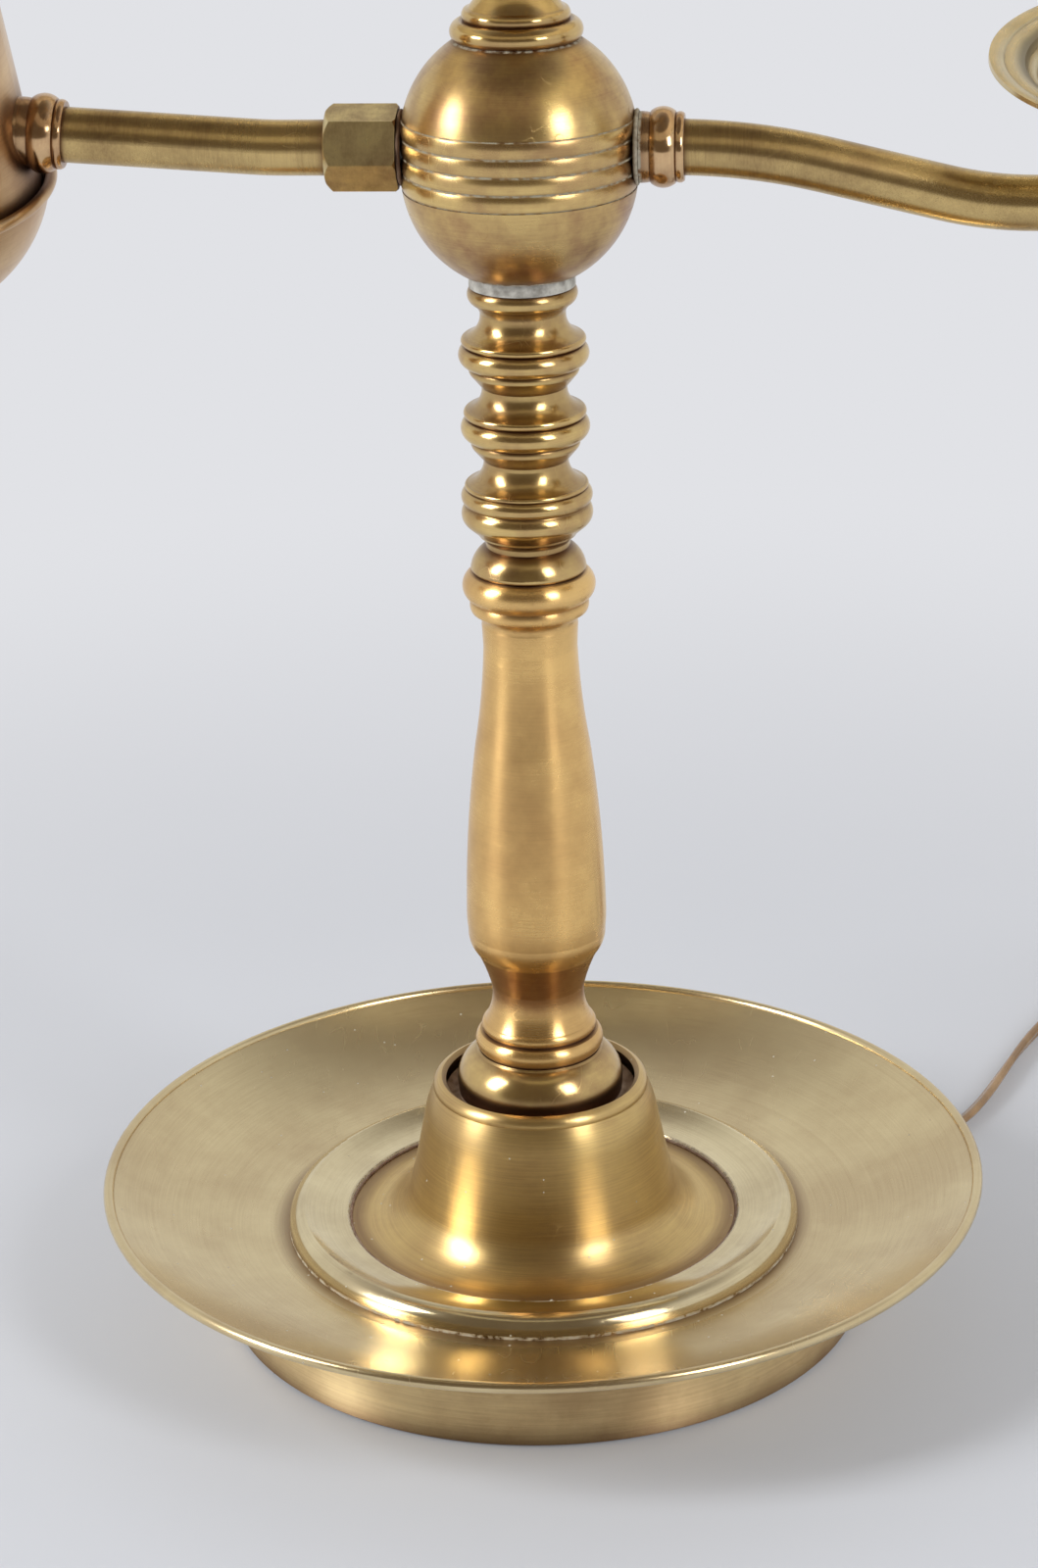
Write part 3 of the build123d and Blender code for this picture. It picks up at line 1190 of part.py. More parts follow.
plug_frame = Plane(origin=(tail_x, plug_start, tail_height), x_dir=(1, 0, 0), z_dir=(0, -1, 0))
with BuildPart() as plug_body:
    with BuildSketch(plug_frame):
        Circle(cord_radius + 1.4)
    with BuildSketch(plug_frame.offset(PLUG_LENGTH * 0.55)):
        RectangleRounded(*PLUG_SIZE, 5.0)
    loft()
    with BuildSketch(plug_frame.offset(PLUG_LENGTH * 0.55)):
        RectangleRounded(*PLUG_SIZE, 5.0)
    extrude(amount=PLUG_LENGTH * 0.45)
save(plug_body, "plug_body")

with BuildPart() as plug_blades:
    with BuildSketch(plug_frame.offset(PLUG_LENGTH)):
        with GridLocations(BLADE_SPACING, 0, 2, 1):
            Rectangle(*BLADE_SIZE)
    extrude(amount=BLADE_LENGTH)
save(plug_blades, "plug_blades")

tube_length = sum(edge.length for edge in cord_path.edges())
print("cord bend radii:", [round(radius, 1) for radius in cord_radii])
print("cord tube volume over section times length:",
      round(swept_volume / (pi * cord_radius**2 * tube_length), 4), "length", round(tube_length, 1))
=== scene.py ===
"""Dresses the bouillotte lamp: its finishes, its free cord, its painted shade and a plain studio around it.

Every piece is in metres in the frame's own axes: +Z up along the stem, +X along the candle arm.
"""

from __future__ import annotations

import json
import logging
import math
from dataclasses import dataclass, field
from enum import Enum
from itertools import accumulate
from typing import NamedTuple

import bmesh
import bpy
from mathutils import Euler, Matrix, Vector

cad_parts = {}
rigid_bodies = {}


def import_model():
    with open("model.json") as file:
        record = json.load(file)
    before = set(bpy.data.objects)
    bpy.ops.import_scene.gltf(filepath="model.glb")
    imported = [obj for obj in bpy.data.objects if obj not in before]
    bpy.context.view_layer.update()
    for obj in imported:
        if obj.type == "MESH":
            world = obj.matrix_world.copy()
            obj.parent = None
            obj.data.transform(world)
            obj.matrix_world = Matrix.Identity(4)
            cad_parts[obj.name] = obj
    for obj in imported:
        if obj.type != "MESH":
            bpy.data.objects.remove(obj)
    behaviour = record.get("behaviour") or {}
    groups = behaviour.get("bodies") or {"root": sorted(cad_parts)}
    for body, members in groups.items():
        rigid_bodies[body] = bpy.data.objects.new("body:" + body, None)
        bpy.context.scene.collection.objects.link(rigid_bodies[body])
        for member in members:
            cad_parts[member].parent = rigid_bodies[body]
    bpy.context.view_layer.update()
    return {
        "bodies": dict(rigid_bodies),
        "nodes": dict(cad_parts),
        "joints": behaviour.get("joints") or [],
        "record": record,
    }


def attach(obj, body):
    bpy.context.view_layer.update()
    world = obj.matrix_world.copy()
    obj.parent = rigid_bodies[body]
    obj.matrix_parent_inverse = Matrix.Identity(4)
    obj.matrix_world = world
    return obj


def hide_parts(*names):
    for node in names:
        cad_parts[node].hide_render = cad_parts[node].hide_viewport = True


log = logging.getLogger("bouillotte_lamp")

MM = 0.001
ARM_LEAN = math.radians(10.0)
ARM_HEIGHT = 339.035 * MM
ARM_REACH = 172.5 * MM
MIX_A, MIX_B = 6, 7  # the two colours of a colour Mix node, by socket number
SPIN_STEPS = 120
DOWN = (0.0, 0.0, -1.0)
GROOVE_RADIUS_MM = 30.9
GROOVE_PITCH_MM = 4.7
BAND_MIDDLE_MM = 338.035
GROOVES_MM = tuple((GROOVE_RADIUS_MM, BAND_MIDDLE_MM + GROOVE_PITCH_MM * i) for i in range(-2, 3))

Pair = tuple[float, float]
Triple = tuple[float, float, float]
Socket = bpy.types.NodeSocket
Tree = bpy.types.NodeTree
Mesh = bmesh.types.BMesh


def linear(hex_colour: str) -> tuple[float, float, float, float]:
    """Turns an sRGB hex colour into the linear RGBA that shaders use.

    Args:
        hex_colour: Six hex digits after a hash.

    Returns:
        Linear red, green and blue, with an alpha of 1.
    """
    channels = [int(hex_colour[i : i + 2], 16) / 255 for i in (1, 3, 5)]
    return (*(c / 12.92 if c <= 0.04045 else ((c + 0.055) / 1.055) ** 2.4 for c in channels), 1.0)


def add_node(tree: Tree, kind: str, inputs: dict | tuple = (), **settings: object) -> Socket | None:
    """Adds one shader node with its settings, and links or sets its inputs.

    Args:
        tree: The tree that takes the node.
        kind: The node's type, less its ShaderNode.
        inputs: Values by socket name or number, or in the sockets' order. A socket is linked, a hex
            colour is set as linear light, and any other value is set as it is.
        **settings: The node's own properties.

    Returns:
        The first output that is live with these settings, if the node has any.
    """
    node = tree.nodes.new("ShaderNode" + kind)
    for name, value in settings.items():
        setattr(node, name, value)
    for key, value in inputs.items() if isinstance(inputs, dict) else enumerate(inputs):
        if isinstance(value, Socket):
            tree.links.new(value, node.inputs[key])
        else:
            node.inputs[key].default_value = linear(value) if isinstance(value, str) else value
    return next((output for output in node.outputs if output.enabled), None)


def empty_tree(owner: bpy.types.Material | bpy.types.World) -> Tree:
    """Gives a material or world a tree that holds nothing yet.

    Args:
        owner: The material or world.

    Returns:
        Its tree.
    """
    owner.use_nodes = True
    owner.node_tree.nodes.clear()
    return owner.node_tree


class TurningAxis(Enum):
    """The lathe axes that the turned pieces were made on, as a point in metres and a turn."""

    STEM = ((0.0, 0.0, 0.0), (0.0, 0.0, 0.0))
    ARM = ((0.0, 0.0, ARM_HEIGHT), (0.0, math.pi / 2, 0.0))
    RESERVOIR = ((-ARM_REACH, 0.0, ARM_HEIGHT), (ARM_LEAN, 0.0, 0.0))
    BURNER = ((ARM_REACH, 0.0, ARM_HEIGHT), (ARM_LEAN, 0.0, 0.0))


class LatheSpace(NamedTuple):
    """A material's tree, with the sockets that say where a point is on its lathe."""

    tree: Tree
    local: Socket  # the point from the axis's origin, with the axis upright
    height: Socket
    profile: Socket  # radius and height, as a point of the piece's half-section
    unrolled: Socket  # the same with a slow drift, in which tool rings are flat layers


@dataclass(frozen=True)
class TurnedBrass:
    """Yellow brass, spun from sheet or turned on a lathe, then rubbed bright and left to age.

    To the eye it is a warm satin metal. The tool leaves fine rings round the axis, which draw each
    highlight out along it. Handling leaves brown clouds. The joints, which a cloth never reaches, go a
    pinkish brown. Ambient occlusion browns the coves too, as tarnish and painted shade together. The faces
    that look down take painted shade, and dried polish stays white in the joints.
    """

    name: str
    axis: TurningAxis = TurningAxis.STEM
    clean: str = "#E2C482"
    cloud: str = "#A37D5C"
    # The colour of the joints' tarnish, and of the tarnish and painted shade in the coves.
    cove_tarnish_and_shade: str = "#74533F"
    residue: str = "#C4BEAC"
    roughness: float = 0.2
    mean_haze: float = 0.11  # what the next four add to the roughness on most of a piece
    haze: tuple[float, ...] = (0.16, 0.06, 0.2, 0.3)  # for clouds, rings, coves and scratches
    residue_haze: float = 0.5
    anisotropy: float = 0.45
    cloud_size_mm: float = 34.0
    cloud_share: float = 0.3
    cloud_ends: Pair = (0.4, 0.64)  # the noise at a cloud's edge and in its middle
    ring_spacing_mm: float = 0.5  # drawn coarser than the real tool marks, so that they show
    ring_depth_mm: float = 0.005
    ring_share: float = 0.18  # how much browner the bottoms of the rings are
    ring_ends: Pair = (0.35, 0.75)
    ring_drift: Triple = (0.03, 0.02, 0.0)  # metres of drift for each metre sideways
    # The coves' darkening comes from ambient occlusion: painted shade, with the tarnish that hollows hold.
    cove_reach_mm: float = 9.0
    cove_share: float = 0.9
    cove_ends: Pair = (0.93, 0.5)  # how open a cove is at its edge and where it is deepest
    underside_shade: float = 0.0  # painted shade: how much browner the faces are that look down
    underside_shade_ends: Pair = (-0.1, 0.55)  # how far down they look where it begins and is full, as a cosine
    stain_mm: Pair | None = None  # a tarnished belt between two heights
    stain_share: float = 0.58
    stain_edges_mm: Triple = (2.5, 4.0, 0.6)  # how far its edges stray, fade in and fade out
    joints_mm: tuple[Pair, ...] = ()  # radius and height of the joints
    halo_mm: float = 4.0  # how far a joint's brown spreads
    halo_share: float = 0.62
    halo_ends: Triple = (1.2, 1.6, 0.6)  # how far it frays, ends and is full, in halo_mm
    residue_mm: float = 0.5  # how far dried polish spreads from a joint
    residue_full: float = 0.6  # the share of that within which it is white all over
    residue_grain_mm: float = 2.4
    residue_ends: Pair = (0.4, 0.56)
    dust: float = 0.0  # share of the dust's grid cells that hold a speck
    dust_grid_mm: float = 3.2
    speck: float = 0.1  # a speck's radius, as a share of a cell
    scratches: float = 0.5
    scratch_size_mm: float = 5.0
    scratch_turn: Triple = (0.5, 0.9, 0.35)
    scratch_stretch: Triple = (1.0, 0.22, 0.6)
    scratch_line: Pair = (0.5, 0.006)  # the level of the noise that is a scratch, and half its width
    scratch_depth: float = 1.5  # against the rings' depth
    patch_size_mm: float = 14.0
    patch_ends: Pair = (0.5, 0.62)

    def make(self) -> bpy.types.Material:
        """Builds the material.

        Returns:
            The finished material.
        """
        material = bpy.data.materials.new(self.name)
        tree = empty_tree(material)
        space = self.find_lathe(tree)
        rings = add_node(tree, "TexNoise", {
            "Vector": space.unrolled, "Scale": 1 / (self.ring_spacing_mm * MM),
            "Detail": 3.0, "Roughness": 0.7,
        })
        clouds = add_node(tree, "TexNoise", {
            "Vector": space.local, "Scale": 1 / (self.cloud_size_mm * MM),
            "Detail": 6.0, "Roughness": 0.62,
        })
        gap = self.measure_gap(space) if self.joints_mm else None
        cove_tarnish_and_shade = self.find_coves(space, gap, clouds)
        brown = self.spread_tarnish_and_shade(space, rings, clouds)
        # This mix also lays the painted shade on the faces that look down, in the clouds' colour.
        metal = add_node(tree, "Mix", {0: brown, MIX_A: self.clean, MIX_B: self.cloud}, data_type="RGBA")
        # Mixes in the joints' tarnish, and the tarnish and painted shade of the coves.
        metal = add_node(tree, "Mix", {0: cove_tarnish_and_shade, MIX_A: metal, MIX_B: self.cove_tarnish_and_shade}, data_type="RGBA")
        scratch = self.draw_scratches(space)
        dull: Socket | float = self.roughness - self.mean_haze
        for source, share in zip((clouds, rings, cove_tarnish_and_shade, scratch), self.haze):
            dull = add_node(tree, "Math", (source, share, dull), operation="MULTIPLY_ADD")
        metallic: Socket | float = 1.0
        if gap is not None or self.dust:
            white = self.find_residue(space, gap)
            metal = add_node(tree, "Mix", {0: white, MIX_A: metal, MIX_B: self.residue}, data_type="RGBA")
            metallic = add_node(tree, "Math", (1.0, white), operation="SUBTRACT")
            dull = add_node(tree, "Math", (white, self.residue_haze, dull), operation="MULTIPLY_ADD")
        relief = add_node(tree, "Math", (scratch, -self.scratch_depth, rings), operation="MULTIPLY_ADD")
        depth = self.ring_depth_mm * MM
        bump = add_node(tree, "Bump", {"Height": relief, "Strength": 1.0, "Distance": depth})
        along = "X" if self.axis is TurningAxis.ARM else "Z"
        shader = add_node(tree, "BsdfPrincipled", {
            "Base Color": metal, "Metallic": metallic, "Roughness": dull, "Normal": bump,
            "Tangent": add_node(tree, "Tangent", direction_type="RADIAL", axis=along),
            "Anisotropic": self.anisotropy, "Anisotropic Rotation": 0.25,
        })
        add_node(tree, "OutputMaterial", (shader,))
        return material

    def find_lathe(self, tree: Tree) -> LatheSpace:
        """Works out where a point is on its lathe.

        Args:
            tree: The material's tree.

        Returns:
            The tree with the sockets of the lathe's own space.
        """
        origin, turn = self.axis.value
        place = add_node(tree, "TexCoord").node.outputs["Object"]
        local = add_node(tree, "Mapping", (place, origin, turn), vector_type="TEXTURE")
        x, y, height = add_node(tree, "SeparateXYZ", (local,)).node.outputs
        flat = add_node(tree, "CombineXYZ", (x, y))
        radius = add_node(tree, "VectorMath", (flat,), operation="LENGTH")
        drift = add_node(tree, "VectorMath", (flat, self.ring_drift), operation="DOT_PRODUCT")
        profile = add_node(tree, "CombineXYZ", (radius, height))
        unrolled = add_node(tree, "CombineXYZ", (radius, height, drift))
        return LatheSpace(tree, local, height, profile, unrolled)

    def measure_gap(self, space: LatheSpace) -> Socket:
        """Measures how far each point of the half-section is from the nearest joint.

        Args:
            space: The lathe's space.

        Returns:
            The distance in metres.
        """
        nearest: Socket | float = 1.0
        for radius, height in self.joints_mm:
            joint = (radius * MM, height * MM, 0.0)
            gap = add_node(space.tree, "VectorMath", (space.profile, joint), operation="DISTANCE")
            nearest = add_node(space.tree, "Math", (gap, nearest), operation="MINIMUM")
        return nearest

    def find_coves(self, space: LatheSpace, gap: Socket | None, clouds: Socket) -> Socket:
        """Finds the joints' tarnish, and the hollows by ambient occlusion, where tarnish and painted shade
        lie together.

        Args:
            space: The lathe's space.
            gap: The distance to the nearest joint, if there is one.
            clouds: The clouds' noise, which frays the edge.

        Returns:
            How deep in a hollow each point is, from 0 to 1.
        """
        tree = space.tree
        # Ambient occlusion darkens the hollows: painted shade, as well as their tarnish.
        reach = add_node(tree, "AmbientOcclusion", {"Distance": self.cove_reach_mm * MM}, samples=6)
        cove_tarnish_and_shade = add_node(tree, "MapRange", (reach.node.outputs["AO"], *self.cove_ends, 0.0, self.cove_share))
        if gap is None:
            return cove_tarnish_and_shade
        fray, end, full = (part * self.halo_mm * MM for part in self.halo_ends)
        frayed = add_node(tree, "Math", (clouds, fray, gap), operation="MULTIPLY_ADD")
        ends = (frayed, end, full, 0.0, self.halo_share)
        halo = add_node(tree, "MapRange", ends, interpolation_type="SMOOTHSTEP")
        return add_node(tree, "Math", (cove_tarnish_and_shade, halo), operation="MAXIMUM")

    def spread_tarnish_and_shade(self, space: LatheSpace, rings: Socket, clouds: Socket) -> Socket:
        """Adds up the brown of the clouds, the tool rings, the painted shade on the faces that look down and
        the stained belt.

        Args:
            space: The lathe's space.
            rings: The tool rings' noise.
            clouds: The clouds' noise.

        Returns:
            How brown each point is, from 0 to 1.
        """
        tree = space.tree
        brown = add_node(tree, "MapRange", (clouds, *self.cloud_ends, 0.0, self.cloud_share))
        ring_brown = add_node(tree, "MapRange", (rings, *self.ring_ends, 0.0, self.ring_share))
        brown = add_node(tree, "Math", (brown, ring_brown), operation="ADD")
        if self.underside_shade:
            # Painted shade: the faces that look down are drawn browner.
            facing = add_node(tree, "TexCoord").node.outputs["Normal"]
            down = add_node(tree, "VectorMath", (facing, DOWN), operation="DOT_PRODUCT")
            under = add_node(tree, "MapRange", (down, *self.underside_shade_ends, 0.0, self.underside_shade))
            brown = add_node(tree, "Math", (brown, under), operation="ADD")
        if self.stain_mm:
            low, high = (height * MM for height in self.stain_mm)
            stray, fade_in, fade_out = (width * MM for width in self.stain_edges_mm)
            edge = add_node(tree, "Math", (clouds, stray, space.height), operation="MULTIPLY_ADD")
            above = add_node(tree, "MapRange", (edge, low, low + fade_in))
            below = add_node(tree, "MapRange", (edge, high + fade_out, high, 0.0, self.stain_share))
            belt = add_node(tree, "Math", (above, below), operation="MULTIPLY")
            brown = add_node(tree, "Math", (brown, belt), operation="ADD")
        return add_node(tree, "Math", (brown, 1.0), operation="MINIMUM")

    def draw_scratches(self, space: LatheSpace) -> Socket:
        """Draws hair scratches, as thin level lines of a smooth stretched noise, in patches.

        Args:
            space: The lathe's space.

        Returns:
            The scratches, from 0 to 1.
        """
        tree = space.tree
        stretched = add_node(tree, "Mapping", {
            "Vector": space.local, "Rotation": self.scratch_turn, "Scale": self.scratch_stretch,
        })
        smooth = add_node(tree, "TexNoise", {
            "Vector": stretched, "Scale": 1 / (self.scratch_size_mm * MM), "Detail": 0.0,
        })
        line = add_node(tree, "Math", (smooth, *self.scratch_line), operation="COMPARE")
        patches = add_node(tree, "TexNoise", {
            "Vector": space.local, "Scale": 1 / (self.patch_size_mm * MM), "Detail": 2.0,
        })
        patch = add_node(tree, "MapRange", (patches, *self.patch_ends, 0.0, self.scratches))
        return add_node(tree, "Math", (line, patch), operation="MULTIPLY")

    def find_residue(self, space: LatheSpace, gap: Socket | None) -> Socket | float:
        """Finds the dried polish in the joints and the specks of dust.

        Args:
            space: The lathe's space.
            gap: The distance to the nearest joint, if there is one.

        Returns:
            How white each point is, from 0 to 1, or plain 0 where the finish has neither.
        """
        tree = space.tree
        white: Socket | float = 0.0
        if gap is not None and self.residue_mm:
            reach = self.residue_mm * MM
            near = add_node(tree, "MapRange", (gap, reach, self.residue_full * reach))
            grain = add_node(tree, "TexNoise", {
                "Vector": space.local, "Scale": 1 / (self.residue_grain_mm * MM),
                "Detail": 4.0, "Roughness": 0.7,
            })
            patchy = add_node(tree, "MapRange", (grain, *self.residue_ends))
            white = add_node(tree, "Math", (near, patchy), operation="MULTIPLY")
        if self.dust:
            grid = {"Vector": space.local, "Scale": 1 / (self.dust_grid_mm * MM)}
            cells = add_node(tree, "TexVoronoi", grid).node.outputs
            near = add_node(tree, "Math", (cells["Distance"], self.speck), operation="LESS_THAN")
            draw = add_node(tree, "SeparateColor", (cells["Color"],))
            chosen = add_node(tree, "Math", (draw, self.dust), operation="LESS_THAN")
            speck = add_node(tree, "Math", (near, chosen), operation="MULTIPLY")
            white = add_node(tree, "Math", (speck, white), operation="MAXIMUM")
        return white


@dataclass(frozen=True)
class PlainSurface:
    """A cast, moulded or woven surface: one colour with faint clouds, and a fine grain in its gloss."""

    name: str
    colour: str
    second: str
    roughness: float
    haze: float = 0.14  # how far the clouds change the roughness
    metallic: float = 0.0
    grain_mm: float = 0.6
    grain_depth_mm: float = 0.02
    cloud_mm: float = 12.0
    cloud_ends: Pair = (0.38, 0.66)  # the noise at a cloud's edge and in its middle
    coat: float = 0.0
    transmission: float = 0.0
    backdrop: str | None = None  # the set's own white, which covers the surface far from the lamp
    backdrop_share: Pair = (0.14, 1.0)  # how far it does, at the lamp and beyond it
    backdrop_reach: Pair = (0.12, 0.75)  # metres from the lamp where it begins to grow and is full

    def make(self) -> bpy.types.Material:
        """Builds the material.

        Returns:
            The finished material.
        """
        material = bpy.data.materials.new(self.name)
        tree = empty_tree(material)
        place = add_node(tree, "TexCoord").node.outputs["Object"]
        grain, clouds = (
            add_node(tree, "TexNoise", {"Vector": place, "Scale": 1 / (size * MM), "Detail": detail})
            for size, detail in ((self.grain_mm, 3.0), (self.cloud_mm, 5.0))
        )
        share = add_node(tree, "MapRange", (clouds, *self.cloud_ends))
        shader = add_node(tree, "BsdfPrincipled", {
            "Base Color": add_node(
                tree, "Mix", {0: share, MIX_A: self.colour, MIX_B: self.second}, data_type="RGBA",
            ),
            "Roughness": add_node(
                tree, "Math", (clouds, self.haze, self.roughness - self.haze / 2), operation="MULTIPLY_ADD",
            ),
            "Normal": add_node(
                tree, "Bump", {"Height": grain, "Strength": 1.0, "Distance": self.grain_depth_mm * MM},
            ),
            "Metallic": self.metallic, "Coat Weight": self.coat, "Transmission Weight": self.transmission,
        })
        if self.backdrop:
            shader = self.whiten(tree, place, shader)
        add_node(tree, "OutputMaterial", (shader,))
        return material

    def whiten(self, tree: Tree, place: Socket, shader: Socket) -> Socket:
        """Covers the surface with the set's own white, more and more with distance from the lamp.

        Args:
            tree: The material's tree.
            place: The point on the floor.
            shader: The surface in its own light and shadow.

        Returns:
            The covered surface, for the camera and for reflections.
        """
        distance = add_node(tree, "VectorMath", (place,), operation="LENGTH")
        ends = (distance, *self.backdrop_reach, *self.backdrop_share)
        cover = add_node(tree, "MapRange", ends, interpolation_type="SMOOTHSTEP")
        path = add_node(tree, "LightPath").node.outputs
        seen = path["Is Camera Ray"]
        for ray in ("Is Glossy Ray", "Is Transmission Ray"):
            seen = add_node(tree, "Math", (seen, path[ray]), operation="MAXIMUM")
        cover = add_node(tree, "Math", (cover, seen), operation="MULTIPLY")
        white = add_node(tree, "Emission", (self.backdrop, 1.0))
        return add_node(tree, "MixShader", (cover, shader, white))


@dataclass(frozen=True)
class ToleEnamel:
    """Stove enamel on sheet steel: deep green with gilt lines outside, and cream inside.

    To the eye it is a soft gloss with brush drag, thin gold lines whose edges waver, and a matt inside.
    """

    name: str = "green_stove_enamel"
    green: str = "#16301F"
    shadow: str = "#0E2117"
    gilt: str = "#B8923F"
    cream: str = "#EDE6D2"
    roughness: float = 0.3
    haze: float = 0.2  # how far the brush drag changes the roughness
    matt: float = 0.3  # how much rougher the inside is
    drag_mm: float = 40.0
    drag_stretch: Triple = (1.0, 1.0, 14.0)
    drag_depth_mm: float = 0.05
    drag_ends: Pair = (0.35, 0.65)
    waver_mm: Pair = (18.0, 0.8)  # how long the waves of a gilt line's edge are, and how deep
    lines_mm: tuple[Pair, ...] = ((476.0, 0.9), (481.5, 2.2), (487.0, 0.9), (571.0, 0.9), (575.5, 1.8))

    def make(self) -> bpy.types.Material:
        """Builds the material.

        Returns:
            The finished material.
        """
        material = bpy.data.materials.new(self.name)
        tree = empty_tree(material)
        coordinates = add_node(tree, "TexCoord").node.outputs
        place = coordinates["Object"]
        x, y, z = add_node(tree, "SeparateXYZ", (place,)).node.outputs
        flat = add_node(tree, "CombineXYZ", (x, y))
        outward = add_node(tree, "VectorMath", (coordinates["Normal"], flat), operation="DOT_PRODUCT")
        outside = add_node(tree, "Math", (outward, 0.0), operation="GREATER_THAN")
        drawn = add_node(tree, "Mapping", {"Vector": place, "Scale": self.drag_stretch})
        drag = add_node(tree, "TexNoise", {"Vector": drawn, "Scale": 1 / (self.drag_mm * MM), "Detail": 5.0})
        share = add_node(tree, "MapRange", (drag, *self.drag_ends))
        paint = add_node(tree, "Mix", {0: share, MIX_A: self.green, MIX_B: self.shadow}, data_type="RGBA")
        length, depth = (size * MM for size in self.waver_mm)
        waver = add_node(tree, "TexNoise", {"Vector": place, "Scale": 1 / length, "Detail": 2.0})
        height = add_node(tree, "Math", (waver, depth, z), operation="MULTIPLY_ADD")
        gilt: Socket | float = 0.0
        for middle, width in self.lines_mm:
            line = add_node(tree, "Math", (height, middle * MM, width / 2 * MM), operation="COMPARE")
            gilt = add_node(tree, "Math", (line, gilt), operation="MAXIMUM")
        paint = add_node(tree, "Mix", {0: gilt, MIX_A: paint, MIX_B: self.gilt}, data_type="RGBA")
        colour = add_node(tree, "Mix", {0: outside, MIX_A: self.cream, MIX_B: paint}, data_type="RGBA")
        gold = add_node(tree, "Math", (gilt, outside), operation="MULTIPLY")
        hazed = (drag, self.haze, self.roughness - self.haze / 2)
        dull = add_node(tree, "Math", hazed, operation="MULTIPLY_ADD")
        dull = add_node(tree, "Math", (outside, -self.matt, dull), operation="MULTIPLY_ADD")
        dull = add_node(tree, "Math", (dull, self.matt), operation="ADD")
        bump = add_node(tree, "Bump", {"Height": drag, "Strength": 1.0, "Distance": self.drag_depth_mm * MM})
        shader = add_node(tree, "BsdfPrincipled", {
            "Base Color": colour, "Metallic": gold, "Roughness": dull, "Normal": bump,
        })
        add_node(tree, "OutputMaterial", (shader,))
        return material


def add_object(name: str, data: bpy.types.ID) -> bpy.types.Object:
    """Makes an object of some data, and links it into the scene.

    Args:
        name: The object's name.
        data: Its mesh, curve, light or camera.

    Returns:
        The object.
    """
    made = bpy.data.objects.new(name, data)
    bpy.context.scene.collection.objects.link(made)
    return made


def finish_piece(shape: Mesh, name: str, material: bpy.types.Material) -> bpy.types.Object:
    """Turns a bmesh into a smooth object at the origin, with its material.

    Args:
        shape: The bmesh, which is freed.
        name: The object's name.
        material: Its material.

    Returns:
        The linked object.
    """
    mesh = bpy.data.meshes.new(name)
    shape.to_mesh(mesh)
    shape.free()
    mesh.materials.append(material)
    for polygon in mesh.polygons:
        polygon.use_smooth = True
    return add_object(name, mesh)


